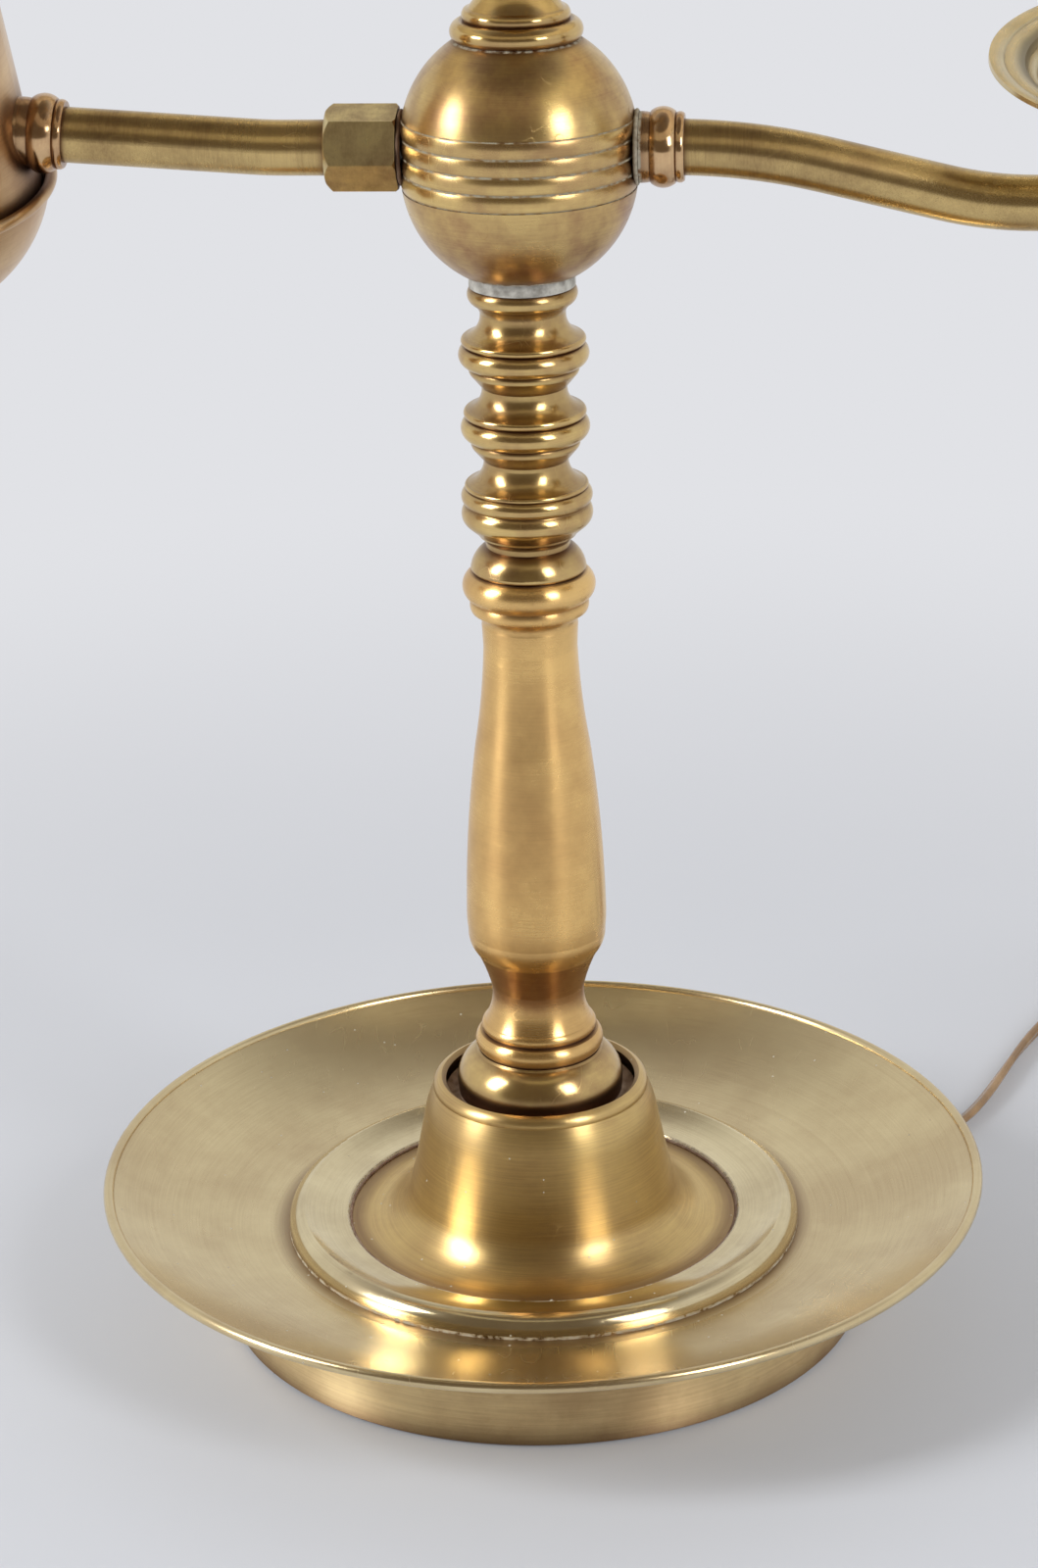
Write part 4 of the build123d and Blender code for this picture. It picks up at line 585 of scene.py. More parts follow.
@dataclass
class Studio:
    """The floor, the two soft boxes, the sky and the camera."""

    floor: PlainSurface = PlainSurface(
        "matt_paper_floor", "#D4D8E0", "#D0D4DC", 0.6, grain_mm=3.0, cloud_mm=400.0, backdrop="#E1E2E6",
    )
    floor_size: float = 12.0
    walls: tuple[str, str] = ("#766B5E", "#F2F3F5")  # the dim of the room and the pale of its walls and sweep
    wall_strength: float = 0.84
    sweep_ends: Pair = (1.0, 0.6)  # how far up the pale ends, and where it is full
    back_slope: float = -0.6
    back_ends: Pair = (-0.85, -0.5)  # how far to the front it ends, and where it is full
    box_size: Pair = (0.6, 1.1)
    box_distance: float = 1.8
    box_height: float = 1.3
    boxes: tuple[tuple[str, float, float], ...] = (("box_left", -70.0, 32.0), ("box_right", 50.0, 17.5))
    aim: Triple = (0.0, 0.0, 0.2)
    lens_mm: float = 94.5
    camera_height: float = 0.5901
    camera_distance: float = 1.0656
    camera_azimuth: float = math.radians(5.3)
    heading: float = math.radians(5.52)
    pitch: float = math.radians(22.05)
    roll: float = math.radians(-1.4)

    def build(self) -> None:
        """Makes everything that isn't part of the lamp."""
        self.place_camera()
        self.lay_floor()
        self.hang_lights()
        self.paint_sky()

    def point_round(self, distance: float, azimuth: float, height: float) -> Vector:
        """The point at a distance and an angle round the stem from the front, and at a height."""
        return Vector((distance * math.sin(azimuth), -distance * math.cos(azimuth), height))

    def place_camera(self) -> None:
        """Puts the camera in front of the lamp and slightly above it."""
        data = bpy.data.cameras.new("camera")
        data.lens = self.lens_mm
        data.sensor_width = 36.0
        camera = add_object("camera", data)
        where = self.point_round(self.camera_distance, self.camera_azimuth, self.camera_height)
        camera.matrix_world = (
            Matrix.Translation(where)
            @ Matrix.Rotation(self.heading, 4, "Z")
            @ Matrix.Rotation(math.pi / 2 - self.pitch, 4, "X")
            @ Matrix.Rotation(self.roll, 4, "Z")
        )
        bpy.context.scene.camera = camera

    def lay_floor(self) -> None:
        """Lays one large pale sheet under the lamp."""
        shape = bmesh.new()
        bmesh.ops.create_grid(shape, x_segments=1, y_segments=1, size=self.floor_size / 2)
        finish_piece(shape, "floor", self.floor.make())

    def hang_lights(self) -> None:
        """Hangs a tall soft box at each side of the camera, the left one stronger."""
        for name, azimuth, power in self.boxes:
            light = bpy.data.lights.new(name, "AREA")
            light.shape = "RECTANGLE"
            light.size, light.size_y = self.box_size
            light.energy = power
            where = self.point_round(self.box_distance, math.radians(azimuth), self.box_height)
            aim = (Vector(self.aim) - where).to_track_quat("-Z", "Y")
            add_object(name, light).matrix_world = Matrix.Translation(where) @ aim.to_matrix().to_4x4()

    def paint_sky(self) -> None:
        """Surrounds the set with pale side walls and a pale sweep behind, in a room that is otherwise dim."""
        world = bpy.data.worlds.new("studio")
        bpy.context.scene.world = world
        tree = empty_tree(world)
        way = add_node(tree, "TexCoord").node.outputs["Generated"]
        _, y, z = add_node(tree, "SeparateXYZ", (way,)).node.outputs
        sweep = add_node(tree, "MapRange", (z, *self.sweep_ends), interpolation_type="SMOOTHSTEP")
        behind = add_node(tree, "Math", (z, self.back_slope, y), operation="MULTIPLY_ADD")
        back = add_node(tree, "MapRange", (behind, *self.back_ends), interpolation_type="SMOOTHSTEP")
        bright = add_node(tree, "Math", (back, sweep), operation="MULTIPLY")
        dim, pale = self.walls
        colour = add_node(tree, "Mix", {0: bright, MIX_A: dim, MIX_B: pale}, data_type="RGBA")
        walls = add_node(tree, "Background", (colour, self.wall_strength))
        backdrop = add_node(tree, "Background", (self.floor.backdrop, 1.0))
        seen = add_node(tree, "LightPath").node.outputs["Is Camera Ray"]
        both = add_node(tree, "MixShader", (seen, walls, backdrop))
        add_node(tree, "OutputWorld", (both,))


Finish = TurnedBrass | PlainSurface | ToleEnamel
NODES: dict[str, bpy.types.Object] = {}


def dress(finish: Finish, *names: str) -> None:
    """Gives CAD nodes their finish.

    Args:
        finish: The finish, whose material is made here.
        *names: The nodes that take it.
    """
    material = finish.make()
    for name in names:
        for slot in NODES[name].material_slots:
            slot.material = material
        log.info("%s: %s", name, material.name)


def spin_round(shape: Mesh, outline: list) -> None:
    """Spins an outline right round the Z axis, with its faces outwards.

    Args:
        shape: The bmesh that holds it.
        outline: Its points and edges.
    """
    bmesh.ops.spin(
        shape, geom=outline, axis=(0.0, 0.0, 1.0), cent=(0.0, 0.0, 0.0), steps=SPIN_STEPS,
        angle=2 * math.pi, use_merge=True,
    )
    bmesh.ops.recalc_face_normals(shape, faces=shape.faces)


def spin_bead(
    name: str, joint: Pair, radius: float, finish: Finish, axis: TurningAxis = TurningAxis.STEM
) -> bpy.types.Object:
    """Spins a round bead about a lathe axis.

    Args:
        name: The bead's name.
        joint: The radius and height of the bead's middle.
        radius: The bead's own radius.
        finish: Its finish.
        axis: The lathe axis.

    Returns:
        The bead.
    """
    shape = bmesh.new()
    bead = bmesh.ops.create_circle(shape, radius=radius, segments=10)["verts"]
    place = Matrix.Translation((joint[0], 0.0, joint[1])) @ Matrix.Rotation(math.pi / 2, 4, "X")
    bmesh.ops.transform(shape, matrix=place, verts=bead)
    spin_round(shape, bead + shape.edges[:])
    origin, turn = axis.value
    place = Matrix.Translation(origin) @ Euler(turn).to_matrix().to_4x4()
    bmesh.ops.transform(shape, matrix=place, verts=shape.verts)
    return finish_piece(shape, name, finish.make())


@dataclass
class Base:
    """The dish on its foot ring, with the stepped ring and the bell that the stem stands in."""

    bell_joint: Pair = (56.15 * MM, 24.9 * MM)
    bell_bead: float = 0.55 * MM
    mouth_line: tuple[Pair, ...] = (
        (22.6 * MM, 65.6 * MM),
        (23.4 * MM, 64.0 * MM),
        (25.6 * MM, 63.4 * MM),
        (27.2 * MM, 64.6 * MM),
    )
    dust_thickness: float = 0.6 * MM
    # Spun and brushed sheet brass: pale and satin, brown where the ring above it keeps the cloth away, with
    # painted shade in the corner at the ring's foot.
    dish: TurnedBrass = TurnedBrass(
        "brushed_brass_dish", clean="#E4D1A4", cloud="#A0805C", roughness=0.24, anisotropy=0.6,
        cloud_size_mm=48.0, cove_reach_mm=4.0, cove_share=0.7, joints_mm=((74.0, 23.2),), halo_mm=5.5,
        residue_mm=0.0, dust=0.1, scratches=0.2,
    )
    # Turned brass, rubbed bright on its round edge: crisp highlights, white polish along its foot.
    step: TurnedBrass = TurnedBrass(
        "rubbed_brass_step", clean="#ECDCB2", cloud="#9C8260", roughness=0.16, cove_reach_mm=4.0,
        cove_share=0.4, joints_mm=((74.0, 23.2), (56.3, 25.3)), halo_mm=1.4, residue_mm=1.1, dust=0.12,
        scratches=0.2,
    )
    # Spun brass, brushed round: its fine lines pull each highlight into an upright streak.
    bell: TurnedBrass = TurnedBrass(
        "brushed_brass_bell", roughness=0.32, ring_share=0.35, anisotropy=0.72, joints_mm=((54.5, 24.9),),
        halo_mm=5.5, residue_mm=0.0, dust=0.12,
    )
    # Rolled sheet brass with coarse brush lines, browner and redder than the rest.
    foot: TurnedBrass = TurnedBrass(
        "brushed_brass_foot", clean="#F6DCA6", cloud="#A47A56", cloud_share=0.35, roughness=0.42,
        ring_spacing_mm=0.8, ring_depth_mm=0.006, ring_share=0.25, anisotropy=0.95,
    )
    # Polish, wax and dust that set in a joint: a dull pinkish brown.
    wax: PlainSurface = PlainSurface("dried_polish", "#7A5E4E", "#9A8474", 0.75, grain_mm=0.4, cloud_mm=3.0)
    # House dust packed into the bell's mouth: paler, matt and uneven.
    dust: PlainSurface = PlainSurface(
        "packed_dust", "#C9AF97", "#9A8069", 0.9, grain_mm=0.5, grain_depth_mm=0.2, cloud_mm=4.0,
    )
    # Sand-cast iron: nearly black, dull and pitted.
    iron: PlainSurface = PlainSurface("cast_iron", "#2B2A29", "#3A3633", 0.7, grain_depth_mm=0.2)
    # Pressed wool felt: no gloss at all, with short fibres.
    felt: PlainSurface = PlainSurface("wool_felt", "#1D3A2A", "#264A36", 0.95, grain_depth_mm=0.2)
    # Turned brass that was never polished: the dull floor seen inside the bell's mouth.
    seat: TurnedBrass = TurnedBrass(
        "tarnished_brass_seat", clean="#A98A62", cloud="#6E4C36", cloud_share=0.8, roughness=0.45,
    )

    def build(self) -> None:
        """Fills the bell's joints and dresses every piece of the base."""
        self.fill_joints()
        dress(self.dish, "base_dish")
        dress(self.step, "step_ring")
        dress(self.bell, "base_bell")
        dress(self.foot, "foot_ring")
        dress(self.seat, "seat_disc", "stem_spacer")
        dress(self.iron, "ballast")
        dress(self.felt, "felt_pad")

    def fill_joints(self) -> None:
        """Lays old polish round the bell's edge, and dust in its mouth round the stem's foot."""
        edge = spin_bead("bell_edge_bead", self.bell_joint, self.bell_bead, self.wax)
        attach(edge, "base")
        shape = bmesh.new()
        line = [shape.verts.new((radius, 0.0, height)) for radius, height in self.mouth_line]
        edges = [shape.edges.new(pair) for pair in zip(line, line[1:])]
        spin_round(shape, line + edges)
        mouth = finish_piece(shape, "bell_mouth_dust", self.dust.make())
        body = mouth.modifiers.new("body", "SOLIDIFY")
        body.thickness = self.dust_thickness
        body.offset = 0.0
        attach(mouth, "base")


@dataclass
class Stem:
    """The turned column, from its foot in the bell to the washer under the ball."""

    # Turned brass, rubbed bright over the crests, with tarnish and painted shade deep in the coves.
    turned: TurnedBrass = TurnedBrass(
        "rubbed_brass_stem", cove_tarnish_and_shade="#65442F", roughness=0.19, anisotropy=0.5, cloud_size_mm=14.0,
        cloud_share=0.5, cove_reach_mm=13.0, cove_share=1.0, scratches=0.3,
    )
    # Turned and brushed brass: long soft upright streaks, and one old belt of tarnish at the waist.
    brushed: TurnedBrass = TurnedBrass(
        "brushed_brass_vase", clean="#F3CA84", cloud="#AA7C52", roughness=0.28, ring_share=0.1,
        anisotropy=0.8, cloud_share=0.42, cloud_size_mm=30.0, stain_mm=(93.0, 109.0),
    )
    # Zinc-plated steel gone white: chalky, mottled and without gloss.
    zinc: PlainSurface = PlainSurface(
        "zinc_plated_steel", "#D3D1C8", "#9A968D", 0.6, metallic=0.15, cloud_mm=3.0, grain_depth_mm=0.25,
    )
    # Drawn mild steel: grey, with the sheen of a threaded rod.
    steel: PlainSurface = PlainSurface("mild_steel", "#8B8984", "#77736C", 0.35, metallic=1.0)

    def build(self) -> None:
        """Dresses the column and the rod that holds it."""
        dress(self.turned, "stem_baluster", "stem_foot")
        dress(self.brushed, "stem_vase")
        dress(self.zinc, "stem_washer")
        dress(self.steel, "centre_rod", "rod_nuts", "rod_washers")


@dataclass
class BallHub:
    """The ball with its grooved band, and the neck, rod and finial above it."""

    # Spun brass with the haze of old polish: soft highlights, pinkish clouds, many hair scratches, and
    # painted shade on the faces that look down.
    ball: TurnedBrass = TurnedBrass(
        "rubbed_brass_ball", roughness=0.29, cloud_size_mm=20.0, cloud_share=0.7, underside_shade=0.3,
        scratches=1.0, joints_mm=((16.45, 367.8), (16.0, 306.0)), halo_mm=3.0, residue_mm=0.9,
    )
    # The same brass, cut with grooves that hold lines of white polish.
    band: TurnedBrass = TurnedBrass(
        "rubbed_brass_band", roughness=0.26, anisotropy=0.4, cloud_size_mm=18.0, cloud_share=0.6,
        scratches=0.4, joints_mm=GROOVES_MM, halo_mm=0.8,
        residue_mm=0.42, residue="#ADA68F",
    )
    # Turned brass, rubbed bright: crisp highlights on the crests, coves browned by tarnish and painted shade.
    top: TurnedBrass = TurnedBrass(
        "rubbed_brass_top", roughness=0.17, anisotropy=0.5, cloud_size_mm=18.0, cloud_share=0.45,
    )
    # Turned mild steel, out of sight inside the ball: plain satin grey.
    steel: PlainSurface = PlainSurface("turned_mild_steel", "#84827D", "#6F6C66", 0.4, metallic=1.0)

    def build(self) -> None:
        """Dresses the ball and everything that stands on it."""
        dress(self.ball, "ball_upper", "ball_lower")
        dress(self.band, "ball_band")
        dress(self.top, "ball_collar", "upper_neck", "shade_rod", "finial")
        dress(self.steel, "hub_core", "spindle")


@dataclass
class Arms:
    """The two tubes, with the collars and the nut that join them to the ball."""

    # Drawn brass tube, rubbed along its length: soft long highlights and brown patches.
    tube: TurnedBrass = TurnedBrass(
        "rubbed_brass_arm", axis=TurningAxis.ARM, clean="#D8BC80", cloud="#8C6F4E", roughness=0.28,
        ring_share=0.3, anisotropy=0.3, cloud_size_mm=26.0, cloud_share=0.6, joints_mm=((8.9, 31.8),),
        residue_mm=1.0,
    )
    # Turned brass: bright lines round each bead, and between them brown tarnish with painted shade.
    collar: TurnedBrass = TurnedBrass(
        "rubbed_brass_collar", axis=TurningAxis.ARM, clean="#DFBC8E", cloud="#97694E", roughness=0.17,
        cloud_share=0.5, cloud_size_mm=14.0, joints_mm=((8.9, 31.8),), residue_mm=1.0,
    )
    # Milled brass that nobody polished: olive brown and patchy, with rubbed corners.
    nut: TurnedBrass = TurnedBrass(
        "tarnished_brass_nut", axis=TurningAxis.ARM, clean="#E8D7A0", cloud="#97795C", cloud_size_mm=8.0,
        cloud_share=0.6, roughness=0.3, anisotropy=0.0,
    )
    # Dried polish where the arms meet the ball: chalky on the right, brown on the left.
    white_polish: PlainSurface = PlainSurface(
        "dried_white_polish", "#C2BBA8", "#8F8370", 0.8, grain_mm=0.4, cloud_mm=2.0,
    )
    brown_polish: PlainSurface = PlainSurface(
        "dried_brown_polish", "#6B5140", "#8A6E58", 0.75, grain_mm=0.4, cloud_mm=3.0,
    )
    bead_joint: Pair = (9.5 * MM, 31.1 * MM)  # radius and distance along the arm
    bead_radius: float = 0.6 * MM
    # Extruded rubber round the leads inside: black and matt.
    rubber: PlainSurface = PlainSurface("extruded_rubber", "#1B1A19", "#242220", 0.6)

    def build(self) -> None:
        """Fills the joints at the ball and dresses both arms."""
        radius, reach = self.bead_joint
        for side, along, polish in (("left", -reach, self.brown_polish), ("right", reach, self.white_polish)):
            bead = spin_bead(f"{side}_joint_bead", (radius, along), self.bead_radius, polish, TurningAxis.ARM)
            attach(bead, "arms")
        dress(self.tube, "left_tube", "right_tube")
        dress(self.collar, "left_collar", "right_collar")
        dress(self.nut, "union_nut")
        dress(self.rubber, "arm_lead", "stem_lead")


@dataclass
class Reservoir:
    """The oil reservoir at the end of the left arm, now only a counterweight."""

    # Spun sheet brass, brushed round: satin, with upright streaks.
    brass: TurnedBrass = TurnedBrass(
        "brushed_brass_reservoir", axis=TurningAxis.RESERVOIR, clean="#DFBF92", cloud="#9A7156",
        roughness=0.3, anisotropy=0.7, cloud_share=0.45,
    )

    def build(self) -> None:
        """Dresses the vessel, its lid and its knobs."""
        dress(self.brass, "reservoir_body", "reservoir_bowl", "reservoir_lid", "lid_knob", "bowl_knob")


@dataclass
class Burner:
    """The drip pan, cup, switch, candle sleeve and bulb at the end of the right arm."""

    # Spun and turned brass, rubbed bright: crisp highlights.
    brass: TurnedBrass = TurnedBrass(
        "rubbed_brass_burner", axis=TurningAxis.BURNER, roughness=0.22, cloud_share=0.4,
    )
    # Spun sheet brass: pale, with a dark grey-brown ring painted on each of its steps and in its hollows, as
    # painted shade and dark reflection.
    pan: TurnedBrass = TurnedBrass(
        "spun_brass_pan", axis=TurningAxis.BURNER, clean="#DDCBA0", cloud="#8A7760", cove_tarnish_and_shade="#1E1816",
        roughness=0.26, ring_spacing_mm=2.0, ring_share=0.2, ring_depth_mm=0.01, anisotropy=0.4,
        joints_mm=((41.6, 22.8), (36.4, 18.8)), halo_mm=3.2, residue_mm=0.0,
    )
    # Painted card tube: warm ivory with a slight eggshell gloss.
    card: PlainSurface = PlainSurface("painted_card_tube", "#EDE3C8", "#E2D5B4", 0.4, grain_depth_mm=0.04)
    # Moulded phenolic: black, hard and faintly mottled.
    phenolic: PlainSurface = PlainSurface("moulded_phenolic", "#1A1716", "#231F1D", 0.35)
    # Threaded steel pipe: grey, with a low sheen.
    steel: PlainSurface = PlainSurface("threaded_steel_pipe", "#8B8984", "#77736C", 0.35, metallic=1.0)
    # Drawn tungsten wire: dark and dull.
    tungsten: PlainSurface = PlainSurface("drawn_tungsten", "#6F6E6C", "#5C5B59", 0.45, metallic=1.0)
    # Blown soda glass: clear, and seen only by its reflections.
    glass: PlainSurface = PlainSurface(
        "blown_glass", "#FFFFFF", "#FAFAF6", 0.07, transmission=1.0, grain_depth_mm=0.0,
    )

    def build(self) -> None:
        """Dresses the burner."""
        dress(self.brass, "bobeche_socket", "candle_cup", "bulb_base")
        dress(self.pan, "bobeche")
        dress(self.card, "candle_sleeve")
        dress(self.phenolic, "switch_body", "switch_knob", "lamp_socket")
        dress(self.steel, "burner_nipple")
        dress(self.tungsten, "bulb_filament")
        dress(self.glass, "bulb_glass")


@dataclass
class Shade:
    """The painted sheet shade with its wired edges, its spider and its key."""

    enamel: ToleEnamel = ToleEnamel()
    # Turned brass, rubbed bright: crisp highlights.
    brass: TurnedBrass = TurnedBrass("rubbed_brass_shade", cloud_share=0.4)

    def build(self) -> None:
        """Dresses the shade and its metalwork."""
        dress(self.enamel, "shade_skin")
        dress(self.brass, "shade_rolls", "shade_spider", "shade_hub", "shade_key")


@dataclass
class Plug:
    """A moulded two-blade plug, lying with its long axis along Y and its blades forward."""

    entry: Triple = (244.8 * MM, 182.0 * MM, 7.8 * MM)  # where the cord goes in
    width: float = 20.8 * MM
    thickness: float = 15.0 * MM
    block: float = 18.0 * MM  # length of the straight part, behind the blades
    neck: float = 17.8 * MM  # length of the ribbed part, up to the cord
    taper: float = 0.62  # how much the neck narrows
    rib_waist: float = 0.9  # the width between two ribs, against theirs
    corner: float = 4.6 * MM
    ribs: int = 5
    grooves: int = 5
    grip_share: float = 0.7  # how much of the block the grooves take up
    groove_depth: float = 0.7 * MM
    groove_margin: float = 0.12 * MM
    face_margin: float = 0.9 * MM
    face_rise: float = 0.2 * MM
    soft_edge: float = 0.25 * MM
    # Moulded PVC: brown, smooth and slightly waxy.
    vinyl: PlainSurface = PlainSurface(
        "moulded_pvc", "#4A2F1C", "#57381F", 0.4, grain_mm=0.4, grain_depth_mm=0.01,
    )
    # Stamped sheet brass: flat, even and bright.
    brass: PlainSurface = PlainSurface("stamped_brass", "#D9BC77", "#C6A663", 0.24, metallic=1.0)

    def build(self) -> bpy.types.Object:
        """Makes the plug's body and dresses its blades.

        Returns:
            The body.
        """
        shape = bmesh.new()
        bmesh.ops.create_cube(shape, size=1.0)
        bmesh.ops.scale(shape, vec=(self.width, self.block, self.thickness), verts=shape.verts)
        long_edges = [e for e in shape.edges if abs(e.verts[0].co.y - e.verts[1].co.y) > self.block / 2]
        bmesh.ops.bevel(
            shape, geom=long_edges, offset=self.corner, segments=6, profile=0.5, affect="EDGES", material=-1,
        )
        self.draw_neck(shape)
        self.cut_grips(shape)
        front = [f for f in shape.faces if f.normal.y < -0.99]
        bmesh.ops.inset_region(shape, faces=front, thickness=self.face_margin, depth=0.0)
        raised = list({v for f in front for v in f.verts})
        bmesh.ops.translate(shape, vec=(0.0, -self.face_rise, 0.0), verts=raised)
        middle = Vector(self.entry) - Vector((0.0, self.neck + self.block / 2, 0.0))
        bmesh.ops.translate(shape, vec=middle, verts=shape.verts)
        bmesh.ops.recalc_face_normals(shape, faces=shape.faces)
        body = finish_piece(shape, "ribbed_plug", self.vinyl.make())
        edge = body.modifiers.new("soft_edges", "BEVEL")
        edge.width = self.soft_edge
        edge.segments = 2
        edge.limit_method = "ANGLE"
        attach(body, "base")
        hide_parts("plug_body")
        dress(self.brass, "plug_blades")
        return body

    def draw_neck(self, shape: Mesh) -> None:
        """Draws the back face out to the cord, in ribs that narrow.

        Args:
            shape: The plug's block.
        """
        face = next(f for f in shape.faces if f.normal.y > 0.99)
        stations = 2 * self.ribs
        scale = 1.0
        for station in range(1, stations + 1):
            narrow = 1.0 - self.taper * (station / stations)
            target = narrow * (self.rib_waist if station % 2 else 1.0)
            face = bmesh.ops.extrude_discrete_faces(shape, faces=[face])["faces"][0]
            ratio = target / scale
            bmesh.ops.scale(shape, vec=(ratio, 1.0, ratio), verts=face.verts)
            bmesh.ops.translate(shape, vec=(0.0, self.neck / stations, 0.0), verts=face.verts)
            scale = target

    def cut_grips(self, shape: Mesh) -> None:
        """Cuts finger grooves across both sides of the block.

        Args:
            shape: The plug's block, with its neck.
        """
        length = self.grip_share * self.block
        pitch = length / (2 * self.grooves)
        for line in range(2 * self.grooves + 1):
            geometry = shape.verts[:] + shape.edges[:] + shape.faces[:]
            cut = (0.0, line * pitch - length / 2, 0.0)
            bmesh.ops.bisect_plane(shape, geom=geometry, plane_co=cut, plane_no=(0.0, 1.0, 0.0))
        for groove in range(self.grooves):
            middle = (2 * groove + 0.5) * pitch - length / 2
            sides = [
                f for f in shape.faces
                if abs(f.normal.x) > 0.99 and abs(f.calc_center_median().y - middle) < 0.2 * pitch
            ]
            bmesh.ops.inset_individual(
                shape, faces=sides, thickness=self.groove_margin, depth=-self.groove_depth,
            )


@dataclass
class CoilTie:
    """A narrow strap round the coiled cord."""

    coil_centre: Pair = (208.0 * MM, 228.0 * MM)
    coil_radius: float = 29.0 * MM
    angle: float = math.radians(205.0)
    inside: Pair = (20.4 * MM, 10.0 * MM)  # the turns' width and height
    lift: float = 0.04  # how far the strap's underside is off the floor, as a share of that height
    corner: float = 3.2 * MM
    width: float = 9.0 * MM
    thickness: float = 0.7 * MM
    # Woven nylon strap: black, matt and finely ribbed.
    nylon: PlainSurface = PlainSurface(
        "woven_nylon", "#1E1E20", "#2A2A2D", 0.8, grain_mm=0.7, grain_depth_mm=0.12,
    )

    def build(self) -> bpy.types.Object:
        """Makes the strap.

        Returns:
            The strap.
        """
        shape = bmesh.new()
        across, high = self.inside
        square = ((-1, self.lift), (1, self.lift), (1, 1), (-1, 1))
        corners = [shape.verts.new((x * across / 2, 0.0, z * high)) for x, z in square]
        shape.faces.new(corners)
        bmesh.ops.bevel(
            shape, geom=corners, offset=self.corner, segments=5, profile=0.5, affect="VERTICES", material=-1,
        )
        loop = shape.edges[:]
        bmesh.ops.delete(shape, geom=shape.faces[:], context="FACES_ONLY")
        made = bmesh.ops.extrude_edge_only(shape, edges=loop)["geom"]
        far = [v for v in made if isinstance(v, bmesh.types.BMVert)]
        bmesh.ops.translate(shape, vec=(0.0, self.width, 0.0), verts=far)
        bmesh.ops.translate(shape, vec=(self.coil_radius, -self.width / 2, 0.0), verts=shape.verts)
        bmesh.ops.recalc_face_normals(shape, faces=shape.faces)
        place = Matrix.Translation((*self.coil_centre, 0.0)) @ Matrix.Rotation(self.angle, 4, "Z")
        bmesh.ops.transform(shape, matrix=place, verts=shape.verts)
        strap = finish_piece(shape, "coil_tie", self.nylon.make())
        wall = strap.modifiers.new("wall", "SOLIDIFY")
        wall.thickness = self.thickness
        wall.offset = 0.0
        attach(strap, "base")
        return strap


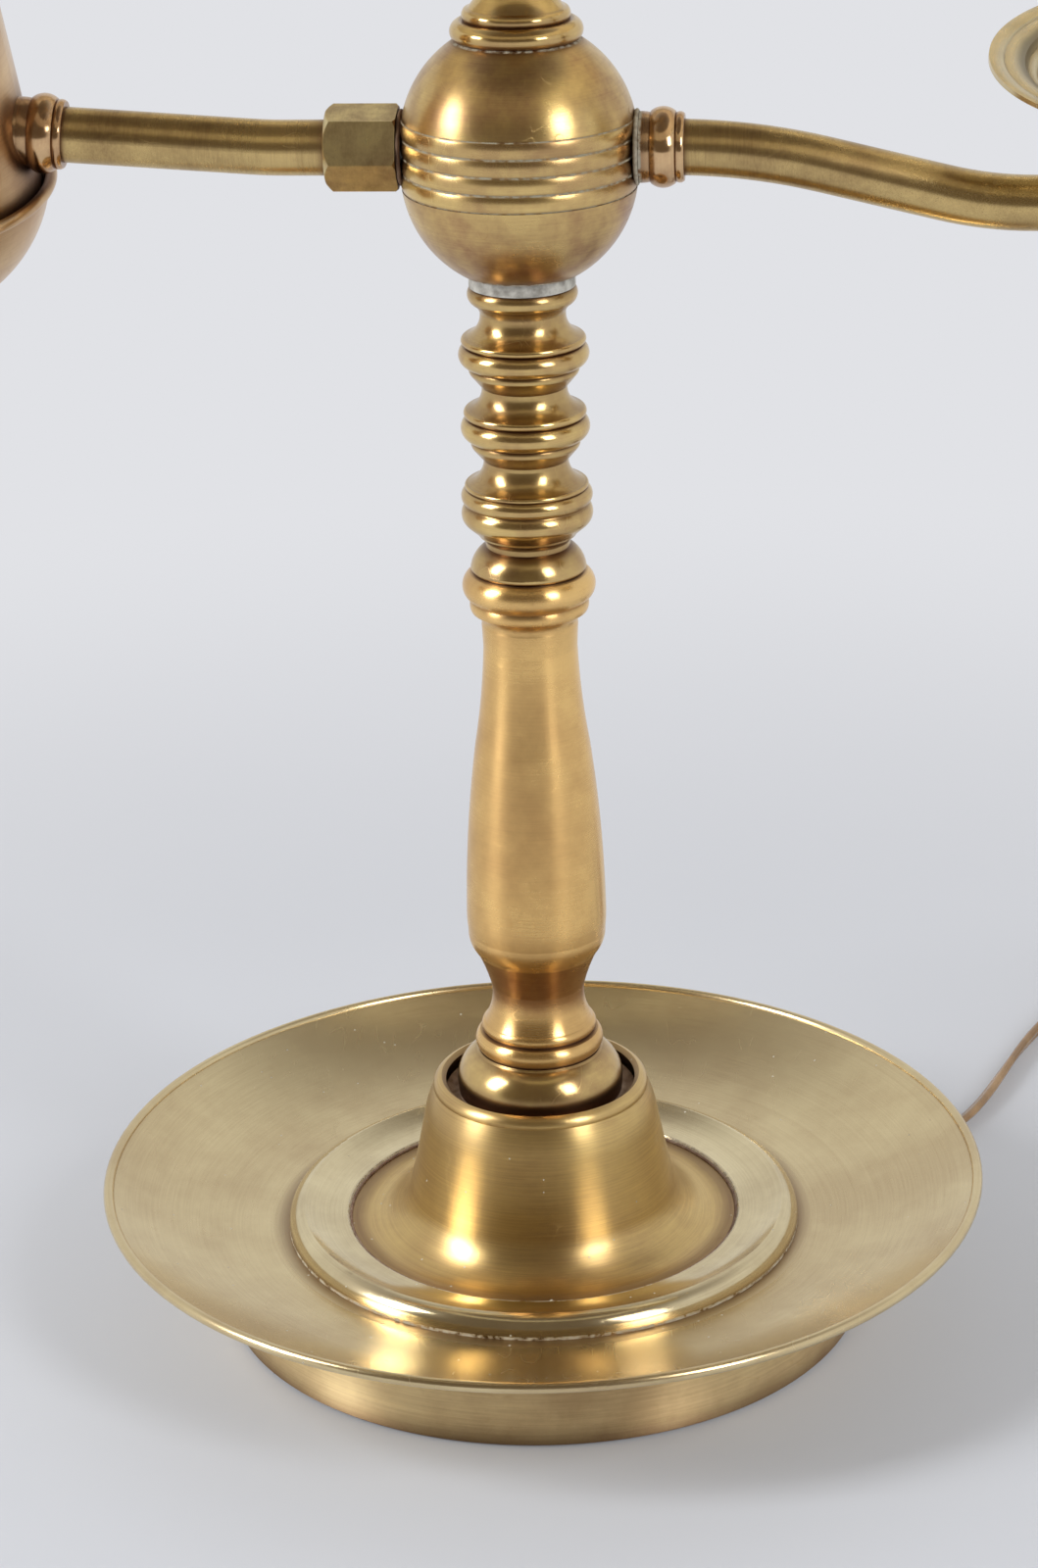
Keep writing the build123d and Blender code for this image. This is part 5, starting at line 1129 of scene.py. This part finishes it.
@dataclass
class FreeCord:
    """The flat two-core cord from the foot ring to its plug, with its spare length coiled."""

    width: float = 5.2 * MM
    thickness: float = 2.6 * MM
    core_arc: int = 140  # degrees each way from a core's outer side to the web between the cores
    core_step: int = 35
    length: float = 1.76
    exit_angle: float = math.radians(38.0)
    exit_radius: float = 113.5 * MM
    exit_height: float = 6.9 * MM
    straight: float = 15.0 * MM  # how far it runs straight out of the exit
    route_mm: tuple[Triple, ...] = (
        (112.2, 91.6, 3.4),
        (122.6, 104.6, 2.65),
        (130.2, 121.5, 2.7),
        (136.8, 142.0, 2.65),
        (143.6, 162.5, 2.7),
        (152.4, 182.5, 2.65),
        (162.6, 202.5, 2.7),
    )
    coil_turns: float = 8.5
    coil_band: float = 1.5  # how far the turns spread each way from the middle one, in widths
    layer_turns: Pair = (3.0, 4.0)  # the turns between which the cord climbs to the upper layer
    points_per_turn: int = 14
    tail: float = 22.0 * MM  # the straight end behind the plug
    roll: Pair = (math.radians(12.0), math.radians(90.0))  # at the exit, and from roll_share on
    roll_share: float = 0.09
    # Clear PVC over stranded copper: a warm brown, with the gloss of the clear skin.
    vinyl: PlainSurface = PlainSurface(
        "clear_pvc_over_copper", "#8E6A3C", "#B08A58", 0.25, grain_mm=0.5, grain_depth_mm=0.01, coat=0.3,
    )
    # Moulded rubber, black and matt: the strain relief in the foot ring's wall.
    rubber: PlainSurface = PlainSurface("moulded_rubber", "#1B1A19", "#242220", 0.6)
    plug: Plug = field(default_factory=Plug)
    tie: CoilTie = field(default_factory=CoilTie)

    def exit_point(self, extra: float = 0.0) -> Vector:
        """The point where the cord leaves the strain relief, or a point that far beyond it."""
        reach, angle = self.exit_radius + extra, self.exit_angle
        return Vector((reach * math.cos(angle), reach * math.sin(angle), self.exit_height))

    def control_points(self) -> list[Vector]:
        """Lists the points that steer the cord's line, from the exit to the plug.

        Returns:
            The route's points, then those of the coil's turns, then the tail's.
        """
        points = [self.exit_point(), self.exit_point(self.straight)]
        points += [Vector(p) * MM for p in self.route_mm]
        band = self.coil_band * self.width
        low, high = self.width / 2, 1.5 * self.width
        inner, outer = self.tie.coil_radius - band, self.tie.coil_radius + band
        climb, top = self.layer_turns
        for step in range(round(self.coil_turns * self.points_per_turn) + 1):
            turns = step / self.points_per_turn
            if turns < top:
                radius = outer - min(turns / climb, 1.0) * (outer - inner)
            else:
                radius = inner + min((turns - top) / climb, 1.0) * (outer - inner)
            height = low + min(max(turns - climb, 0.0), 1.0) * (high - low)
            angle = math.pi - 2 * math.pi * turns
            x, y = self.tie.coil_centre
            points.append(Vector((x + radius * math.cos(angle), y + radius * math.sin(angle), height)))
        end = Vector(self.plug.entry)
        return [*points, end + Vector((0.0, self.tail, 0.0)), end]

    def centre_line(self) -> list[Vector]:
        """Reads the smooth line through the control points.

        Returns:
            Closely spaced points along the cord's middle.
        """
        data = bpy.data.curves.new("cord_line", "CURVE")
        data.dimensions = "3D"
        spline = data.splines.new("NURBS")
        points = self.control_points()
        spline.points.add(len(points) - 1)
        for target, point in zip(spline.points, points):
            target.co = (*point, 1.0)
        spline.order_u = 3
        spline.use_endpoint_u = True
        data.resolution_u = 10
        guide = add_object("cord_line", data)
        mesh = bpy.data.meshes.new_from_object(guide)
        line = [v.co.copy() for v in mesh.vertices]
        bpy.data.objects.remove(guide)
        bpy.data.curves.remove(data)
        bpy.data.meshes.remove(mesh)
        return line

    def section(self) -> list[Vector]:
        """Draws the outline of the two cores side by side, in the plane across the cord.

        Returns:
            Its points, core by core.
        """
        core = self.thickness / 2
        outline = []
        for side in (1, -1):
            for degrees in range(-self.core_arc, self.core_arc + 1, self.core_step):
                angle = math.radians(degrees)
                x, y = core + core * math.cos(angle), core * math.sin(angle)
                outline.append(Vector((side * x, side * y, 0.0)))
        return outline

    def roll_at(self, share: float) -> float:
        """How far the cord has rolled about its own line, at a share of its length."""
        start, end = self.roll
        return start + (end - start) * min(share / self.roll_share, 1.0)

    def place_sections(self, line: list[Vector]) -> list[Matrix]:
        """Works out where the section goes at each point of the line.

        Args:
            line: The cord's middle.

        Returns:
            The place, turn and roll at each point.
        """
        stations = list(accumulate(((b - a).length for a, b in zip(line, line[1:])), initial=0.0))
        places = []
        for i, point in enumerate(line):
            ahead = line[min(i + 1, len(line) - 1)] - line[max(i - 1, 0)]
            ahead.normalize()
            side = ahead.cross(Vector((0, 0, 1))).normalized()
            frame = Matrix((side, side.cross(ahead), ahead)).transposed().to_4x4()
            roll = Matrix.Rotation(self.roll_at(stations[i] / stations[-1]), 4, "Z")
            places.append(Matrix.Translation(point) @ frame @ roll)
        log.info("free cord: %.3f m along its line", stations[-1])
        return places

    def build(self) -> None:
        line = self.centre_line()
        places = self.place_sections(line)
        shape = bmesh.new()
        ring = [shape.verts.new(p) for p in self.section()]
        edges = [shape.edges.new((a, b)) for a, b in zip(ring, ring[1:] + ring[:1])]
        bmesh.ops.transform(shape, matrix=places[0], verts=ring)
        loop = edges
        for before, after in zip(places, places[1:]):
            made = bmesh.ops.extrude_edge_only(shape, edges=loop)["geom"]
            ring = [v for v in made if isinstance(v, bmesh.types.BMVert)]
            loop = [e for e in made if isinstance(e, bmesh.types.BMEdge) and all(v in ring for v in e.verts)]
            bmesh.ops.transform(shape, matrix=after @ before.inverted(), verts=ring)
        bmesh.ops.contextual_create(shape, geom=edges)
        bmesh.ops.contextual_create(shape, geom=loop)
        bmesh.ops.recalc_face_normals(shape, faces=shape.faces)
        cord = finish_piece(shape, "free_cord", self.vinyl.make())
        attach(cord, "base")
        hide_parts("cord_tube", "cord_coil", "cord_tail")
        dress(self.rubber, "cord_grommet")
        on_cord = [self.plug.build(), self.tie.build(), NODES["plug_blades"], NODES["cord_grommet"]]


def main() -> None:
    """Loads the frame, and builds the studio, the free cord and every sub-assembly in order."""
    logging.basicConfig(level=logging.INFO)
    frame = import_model()
    NODES.update(frame["nodes"])
    bpy.context.scene.view_settings.view_transform = "Standard"
    Studio().build()
    FreeCord().build()
    for assembly in (Base(), Stem(), BallHub(), Arms(), Reservoir(), Burner(), Shade()):
        log.info("dressing: %s", type(assembly).__name__)
        assembly.build()


if __name__ == "__main__":
    main()
